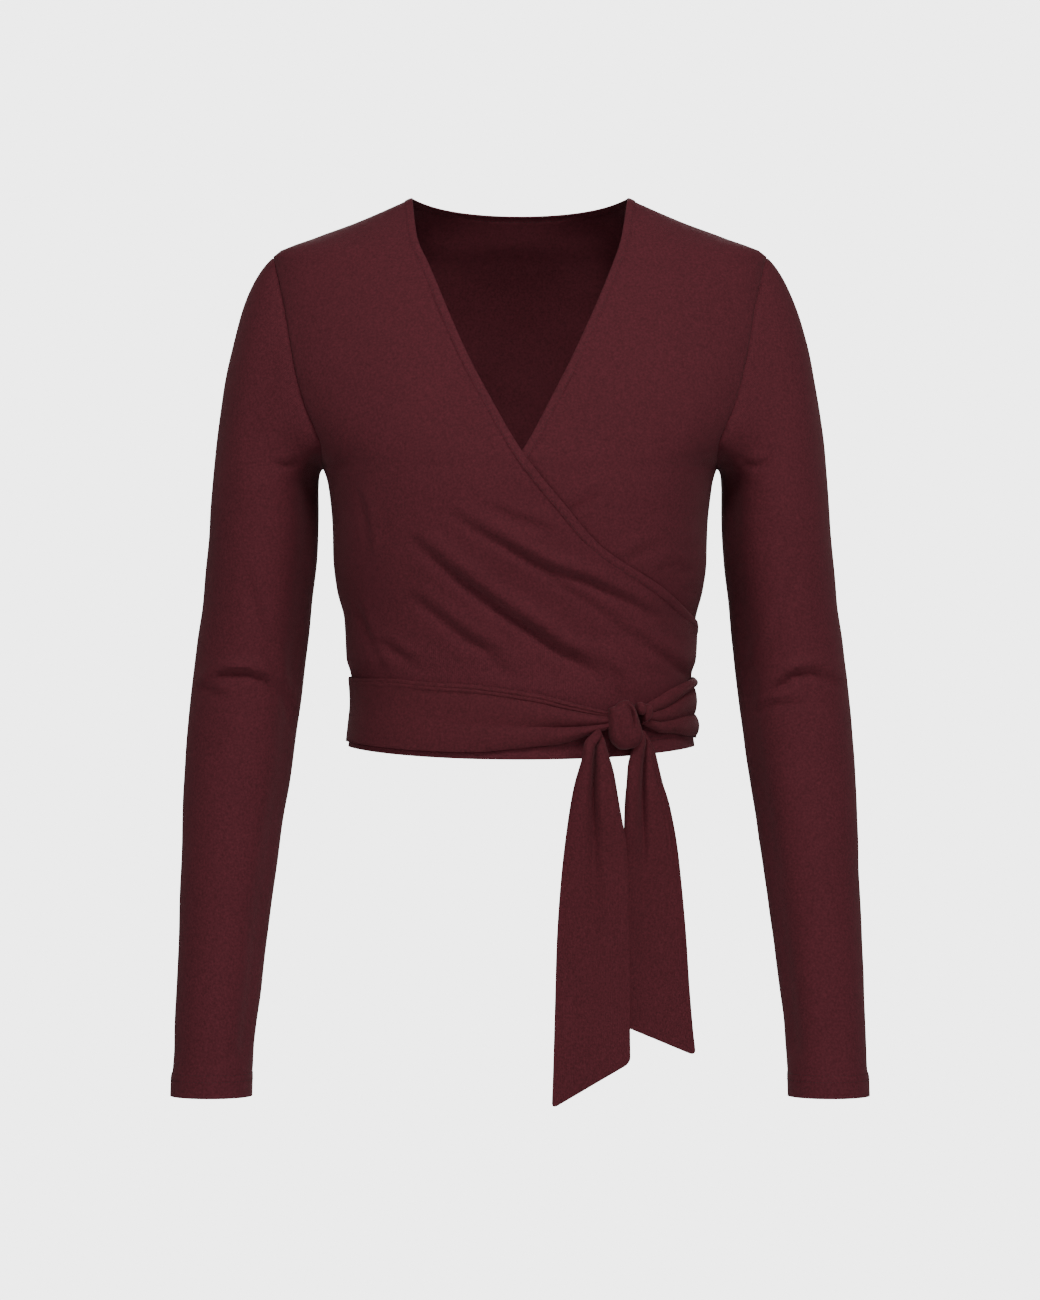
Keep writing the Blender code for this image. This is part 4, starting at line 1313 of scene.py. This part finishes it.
@dataclass
class Studio:
    """A pale floor, soft light and a level camera."""

    height: float = -0.334
    distance: float = 3.5
    lens: float = 131.0
    floor_drop: float = -1.4
    floor_radius: float = 2.2
    floor_glow: float = 1.6
    backdrop: float = 4.2
    ambient: float = 0.11

    def floor(self) -> None:
        """Make the pale floor."""
        angles = np.arange(96) * 2 * math.pi / 96
        rim = np.stack((np.cos(angles), np.sin(angles), np.zeros(96)), -1) * self.floor_radius / MM
        rim[:, 2] = self.floor_drop / MM
        made, graph, shader = blank("pale_floor")
        paint = shader.inputs
        paint["Base Color"].default_value = (0.8, 0.8, 0.8, 1)
        paint["Roughness"].default_value = 0.9
        paint["Emission Color"].default_value = (1.0, 1.0, 1.0, 1)
        seen = graph.node("ShaderNodeLightPath")
        graph.join(graph.math("MULTIPLY", seen.outputs["Is Camera Ray"], self.floor_glow),
                   paint["Emission Strength"])
        place("floor", rim, [tuple(range(96))], made)

    def light(self, name: str, place_at: Sequence[float], size: float, power: float) -> None:
        """Put a soft square light somewhere, turned to the top's middle."""
        lamp = bpy.data.lights.new(name, "AREA")
        lamp.size = size
        lamp.energy = power
        made = bpy.data.objects.new(name, lamp)
        made.location = place_at
        aim = np.array((0.0, 0.0, self.height)) - np.array(place_at)
        made.rotation_euler = (math.atan2(math.hypot(aim[0], aim[1]), -aim[2]), 0.0,
                               math.atan2(aim[1], aim[0]) - math.pi / 2)
        bpy.context.collection.objects.link(made)

    def build(self) -> None:
        """Make the floor, the lights, the pale surroundings and the camera."""
        self.floor()
        self.light("key", (0.3, -1.9, 1.9), 0.8, 48)
        self.light("front", (0.0, -3.4, -0.2), 0.8, 13)
        self.light("soft_right", (2.3, -2.2, 0.6), 1.4, 24)
        self.light("soft_left", (-2.3, -2.2, 0.6), 1.4, 19)
        self.light("back_light", (0.0, 2.9, 1.0), 1.6, 78)
        world = bpy.data.worlds.new("pale")
        world.use_nodes = True
        graph = Graph(world.node_tree)
        shine = world.node_tree.nodes["Background"]
        shine.inputs["Color"].default_value = (1.0, 1.0, 1.0, 1)
        seen = graph.node("ShaderNodeLightPath")
        strength = graph.math("MULTIPLY_ADD", seen.outputs["Is Camera Ray"], self.backdrop - self.ambient,
                              self.ambient)
        graph.join(strength, shine.inputs["Strength"])
        bpy.context.scene.world = world
        lens = bpy.data.cameras.new("camera")
        lens.lens = self.lens
        lens.sensor_width = 36.0
        lens.clip_end = 50.0
        camera = bpy.data.objects.new("camera", lens)
        camera.location = (0.0, -self.distance, self.height)
        camera.rotation_euler = (math.pi / 2, 0.0, 0.0)
        bpy.context.collection.objects.link(camera)
        bpy.context.scene.camera = camera


# ---- The top itself ----

OVER_ROWS = Table("seam edge", (
    (3.4, 3.4), (12, 12), (27, 27), (43.5, 45), (68, 70), (98, 100), (128, 130), (155, 157),
    (180, 182), (200, 202), (213, 216), (225, 230), (237, 243), (249, 255), (260, 266),
    (271, 276), (281, 285), (290, 293), (298, 300), (305, 306), (312, 311), (319, 315.5),
    (326, 319.5), (334, 324), (342, 336), (352, 350), (362, 362), (376, 376), (393, 393), (413, 413),
))
UNDER_ROWS = Table("seam edge", (
    (3.4, 3.4), (12, 12), (27, 27), (43.5, 45), (68, 70), (95, 97), (120, 122), (145, 147),
    (168, 170), (190, 193), (210, 215), (232, 237), (252, 257), (270, 274), (287, 290),
    (303, 304), (320, 318), (340, 340), (375, 375), (411, 411),
))
FRONT_FOLDS = (
    Fold(1.6, 3.6, 1.1, ((-24, 231.8), (1, 241.8), (28, 250.5))),
    Fold(3.5, 4.0, 2.8, ((-54, 234.6), (-29, 249.7), (-9, 260.5), (28, 279.2), (41, 282.8),
                         (66, 293.6), (85, 302.9), (102, 313.7))),
    Fold(5.4, 4.7, 4.2, ((-82, 251.9), (-49, 279.2), (-19, 302.2), (11, 323.0), (28, 335.3),
                         (45, 343.2), (58, 354.7), (69, 366.9), (74, 372.6))),
    Fold(3.2, 4.3, 2.2, ((-82, 292.9), (-59, 310.1), (-39, 325.9), (-24, 334.6), (-9, 352.5),
                       (1, 356.1))),
    Fold(2.0, 3.6, 1.2, ((-105, 325.9), (-87, 337.4), (-73, 348.2))),
    Fold(2.4, 3.6, 1.8, ((76, 318), (99, 336), (116, 346.8), (122, 352))),
    Fold(3.2, 3.2, 2.6, ((50, 330), (61, 343.2), (76, 361.9), (78, 374))),
    Fold(1.6, 3.6, 1.0, ((-10, 262), (30, 288), (62, 310), (84, 330))),
    Fold(1.2, 2.9, 1.0, ((-119, 214), (-112, 240), (-108, 272))),
    Fold(1.5, 2.9, 1.0, ((-121, 296), (-112, 320), (-96, 356))),
)
UNDER_FOLDS = (
    Fold(2.2, 2.1, 1.7, ((28, 236), (42, 229), (54, 223.9), (62, 217))),
    Fold(1.3, 3.2, 1.0, ((70, 271), (88, 263), (106, 254))),
    Fold(1.6, 2.4, 1.2, ((98, 277), (110, 272), (121, 274), (129, 271))),
    Fold(1.2, 2.1, 1.0, ((117, 256), (123, 259), (130, 257))),
    Fold(1.2, 2.1, 1.0, ((117, 292), (123, 289), (130, 291))),
)
SLEEVE_RIGHT_FOLDS = (
    Fold(4.6, 3.3, 3.4, ((-232, 364), (-227, 358.7), (-220, 352.9), (-210, 352.2), (-200, 352.5),
                         (-190, 355.1), (-183, 360.2), (-174, 372))),
    Fold(2.4, 2.9, 1.7, ((-238, 360), (-233, 362.4), (-221, 366), (-212, 368))),
    Fold(1.7, 3.7, 1.3, ((-202, 270), (-197, 290), (-190, 312.6), (-177, 352))),
    Fold(1.9, 3.3, 1.8, ((-186, 340), (-176, 358), (-168, 378), (-164, 396))),
    Fold(1.8, 2.9, 1.3, ((-181, 196), (-172, 200), (-160, 196))),
)
SLEEVE_LEFT_FOLDS = (
    Fold(4.2, 3.3, 3.2, ((177, 372), (185, 363.8), (192, 358.7), (202, 352.1), (213, 350.6),
                         (222, 354.3), (232, 358.7), (240, 362))),
    Fold(2.6, 2.9, 2.1, ((170, 380), (177, 376.3), (183, 374.1), (199, 372.6), (208, 374))),
    Fold(1.7, 3.7, 1.3, ((168, 352), (186, 322), (196, 296), (203, 270))),
    Fold(1.8, 2.9, 1.3, ((160, 196), (172, 200), (181, 196))),
)
SASH_TOP = Table("x drop", (
    (-127, 354.5), (-67, 357.6), (-34, 359.7), (-7, 363.3), (15, 366.9), (28, 370.5), (46, 375.5),
    (58, 379.6), (70, 380.0), (86, 378.0), (97, 367.0), (108, 361.0), (127, 351.0),
))
SASH_RIGHT = Table("x top pipe_one pipe_two valley bottom swell pipe rise", (
    (-127.0, 354.5, 357.0, 359.5, 378.0, 401.0, 0.0, 0.0, 0.0),
    (-96.0, 354.8, 357.3, 359.8, 381.0, 404.6, 0.1, 0.2, 0.0),
    (-67.0, 357.6, 360.2, 362.8, 384.0, 406.8, 0.4, 0.5, 0.0),
    (-34.0, 359.7, 362.3, 364.9, 388.0, 407.6, 1.0, 0.8, 0.0),
    (-7.0, 363.3, 365.9, 368.6, 389.4, 405.2, 2.0, 1.0, 0.0),
    (15.0, 366.9, 369.5, 372.4, 389.6, 402.9, 3.0, 1.1, 0.3),
    (28.0, 370.5, 373.0, 376.0, 389.8, 401.4, 4.6, 1.3, 1.0),
    (46.0, 375.5, 377.6, 380.0, 389.2, 395.6, 4.0, 1.3, 2.6),
    (57.6, 378.8, 380.4, 382.4, 388.0, 391.8, 2.8, 1.1, 5.0),
    (62.0, 380.2, 381.6, 383.2, 387.4, 390.2, 2.0, 0.8, 6.6),
))
SASH_LEFT = Table("x top first second bottom swell rise", (
    (83.0, 377.5, 381.2, 384.0, 387.6, 1.2, 4.8), (90.2, 372.2, 380.0, 385.6, 391.0, 2.4, 3.0),
    (98.0, 367.9, 378.0, 386.6, 394.0, 2.8, 0.8), (106.0, 362.8, 373.8, 385.3, 394.3, 3.0, 0.2),
    (117.0, 357.6, 365.4, 382.8, 396.8, 2.8, 0.0), (126.0, 353.4, 359.2, 381.8, 397.4, 2.6, 0.0),
))
TAIL_FRONT = Table("step x_left drop_left x_right drop_right y_left y_right pleat valley", (
    (0, 57.1, 390.2, 60.2, 398.5, -101.6, -100.4, 0.6, 0.60),
    (1, 52.2, 394.5, 61.3, 403.0, -101.0, -99.4, 3.0, 0.55),
    (2, 47.1, 400.5, 62.9, 408.6, -100.2, -98.6, 5.6, 0.47),
    (3, 44.9, 412.2, 66.5, 420.8, -99.6, -98.0, 7.4, 0.40),
    (4, 39.2, 432.3, 71.0, 446.0, -99.6, -98.0, 7.2, 0.42),
    (5, 33.4, 466.8, 76.4, 480.0, -99.4, -98.0, 4.6, 0.46),
    (6, 29.1, 504.9, 77.7, 512.0, -99.2, -98.0, 2.4, 0.50),
    (7, 26.4, 543.7, 78.6, 548.0, -99.0, -98.0, 0.8, 0.50),
    (8, 24.8, 600.0, 79.0, 590.0, -99.0, -98.0, 0.5, 0.50),
    (9, 22.9, 664.0, 79.4, 631.0, -99.0, -98.0, 0.4, 0.50),
))
TAIL_BACK = Table("step x_left drop_left x_right drop_right y_left y_right pleat valley", (
    (0, 85.4, 390.7, 89.4, 392.5, -92.4, -89.4, 0.4, 0.85),
    (1, 84.6, 399.0, 93.2, 399.5, -92.2, -87.0, 2.0, 0.70),
    (2, 80.6, 407.6, 96.8, 407.0, -91.6, -84.0, 4.0, 0.58),
    (3, 78.2, 417.0, 99.8, 419.0, -90.6, -81.0, 5.8, 0.50),
    (4, 77.2, 430.0, 102.8, 431.0, -90.6, -79.2, 6.6, 0.44),
    (5, 75.8, 445.0, 107.0, 444.0, -91.0, -78.4, 6.0, 0.40),
    (6, 74.9, 473.0, 112.9, 473.0, -91.4, -76.4, 4.0, 0.36),
    (7, 74.4, 501.0, 116.5, 501.8, -91.6, -75.0, 1.3, 0.33),
    (8, 74.6, 540.0, 120.1, 540.8, -91.8, -74.0, 0.7, 0.33),
    (9, 75.4, 575.0, 122.6, 579.0, -91.8, -73.2, 0.5, 0.35),
    (10, 76.0, 605.5, 126.8, 628.0, -91.8, -72.0, 0.4, 0.40),
))
KNOT_OUTLINE = (
    (58.9, 386.3), (59.3, 377.0), (63.6, 375.2), (67.9, 371.9), (72.9, 370.7), (77.3, 374.1),
    (79.8, 380.2), (82.3, 387.7), (84.2, 395.6), (82.8, 400.2), (78.0, 405.2), (69.6, 406.6),
    (63.9, 403.8), (59.9, 397.5),
)
LOOP_OUTLINE = (
    (81.3, 377.2), (83.3, 373.4), (88.2, 374.2), (89.8, 377.0), (89.8, 381.0), (87.3, 385.3),
    (83.8, 387.0), (81.6, 382.0),
)
LOBE_OUTLINE = (
    (76.6, 377.0), (78.4, 372.8), (81.4, 372.4), (83.4, 374.6), (83.8, 378.4), (81.8, 381.8),
    (78.6, 381.6),
)
KNOT_FOLDS = (
    Fold(2.6, 1.0, 1.2, ((66.5, 370.5), (71.4, 374.6), (74.6, 380.0), (75.6, 387.0), (75.0, 394.0))),
    Fold(1.0, 1.3, 0.6, ((70.0, 374.5), (66.0, 381.0), (64.2, 390.0), (65.5, 399.0))),
)


def main() -> None:
    """Build the top, then the studio."""
    logging.basicConfig(level=logging.INFO)
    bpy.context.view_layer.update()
    jersey = Jersey("burgundy_jersey", JERSEY_COLOUR).material()
    sash = Jersey("shaded_sash_jersey", SHADED_SASH_COLOUR).material()
    binding = Jersey("binding_jersey", JERSEY_COLOUR, mottle=0.05).material()
    thread = Thread("burgundy_thread", THREAD_COLOUR).material()
    back = Back(Cloth("back_panel", "jersey", JERSEY_WALL, (0.44, 0.41), 0.155),
                Cloth("neck_band_back", "binding", BAND_WALL, (0.21, 0.010), 0.00137))
    under = Front(Cloth("front_under", "jersey", JERSEY_WALL, (0.42, 0.41), 0.088),
                  Cloth("neck_band_under", "binding", BAND_WALL, (0.45, 0.010), 0.0031),
                  "under_x", Side.RIGHT, UNDER_ROWS, 14, math.radians(HIDDEN_TURN),
                  math.radians(HIDDEN_TURN) - 0.07, UNDER_FOLDS)
    over = Front(Cloth("front_over", "jersey", JERSEY_WALL, (0.42, 0.41), 0.092),
                 Cloth("neck_band_over", "binding", BAND_WALL, (0.47, 0.010), 0.0033),
                 "over_x", Side.LEFT, OVER_ROWS, 18, math.pi / 2, math.pi / 2, FRONT_FOLDS)
    neck = [line for part in (back, under, over) for line in part.build(jersey, binding)]
    StitchRun("neck", "binding", pitch=2.6, length=1.7, thickness=0.46).sew(neck, thread)
    StitchRun("hem", "jersey").sew(over.hem_rows() + back.hem_rows(), thread)
    sleeves = [Sleeve(Cloth("sleeve_right", "jersey", JERSEY_WALL, (0.27, 0.60), 0.133), Side.RIGHT,
                      SLEEVE_RIGHT_FOLDS),
               Sleeve(Cloth("sleeve_left", "jersey", JERSEY_WALL, (0.27, 0.60), 0.133), Side.LEFT,
                      SLEEVE_LEFT_FOLDS)]
    for sleeve in sleeves:
        sleeve.build(jersey)
    StitchRun("cuffs", "jersey").sew([row for sleeve in sleeves for row in sleeve.cuff_rows()], thread)
    side = float(seam_turn(SASH_DROP, Face.FRONT))
    SashFront(Cloth("sash_front_right", "sash", SASH_WALL, (0.25, 0.046)), SASH_RIGHT,
              ("top", "pipe_one", "pipe_two", "valley", "bottom"), ("pipe", "pipe", "swell", "swell"),
              first=-side).build(sash)
    SashFront(Cloth("sash_front_left", "sash", SASH_WALL, (0.09, 0.04)), SASH_LEFT,
              ("top", "first", "second", "bottom"), ("swell", "swell", "swell"), last=side).build(sash)
    SashBack(Cloth("sash_back", "sash", SASH_WALL, (0.38, 0.046))).build(sash)
    Knot("knot", (Pad("knot", (72.0, 389.0), KNOT_OUTLINE, 9.0, 1.2, 0.8, folds=KNOT_FOLDS),)).build(sash)
    Knot("knot_side_loop", (
        Pad("side_loop", (85.6, 380.0), LOOP_OUTLINE, 6.2, 2.4, 1.0),
        Pad("side_lobe", (80.2, 377.0), LOBE_OUTLINE, 5.4, 7.0, 1.0),
    )).build(sash)
    Tail(Cloth("tail_front", "sash", SASH_WALL, (0.055, 0.265), 0.0128, "hung"), TAIL_FRONT).build(sash)
    Tail(Cloth("tail_back", "sash", SASH_WALL, (0.052, 0.235), 0.0100, "hung"), TAIL_BACK,
         lines=(0.84, 0.92), seed=4).build(sash)
    Studio().build()


if __name__ == "__main__":
    main()
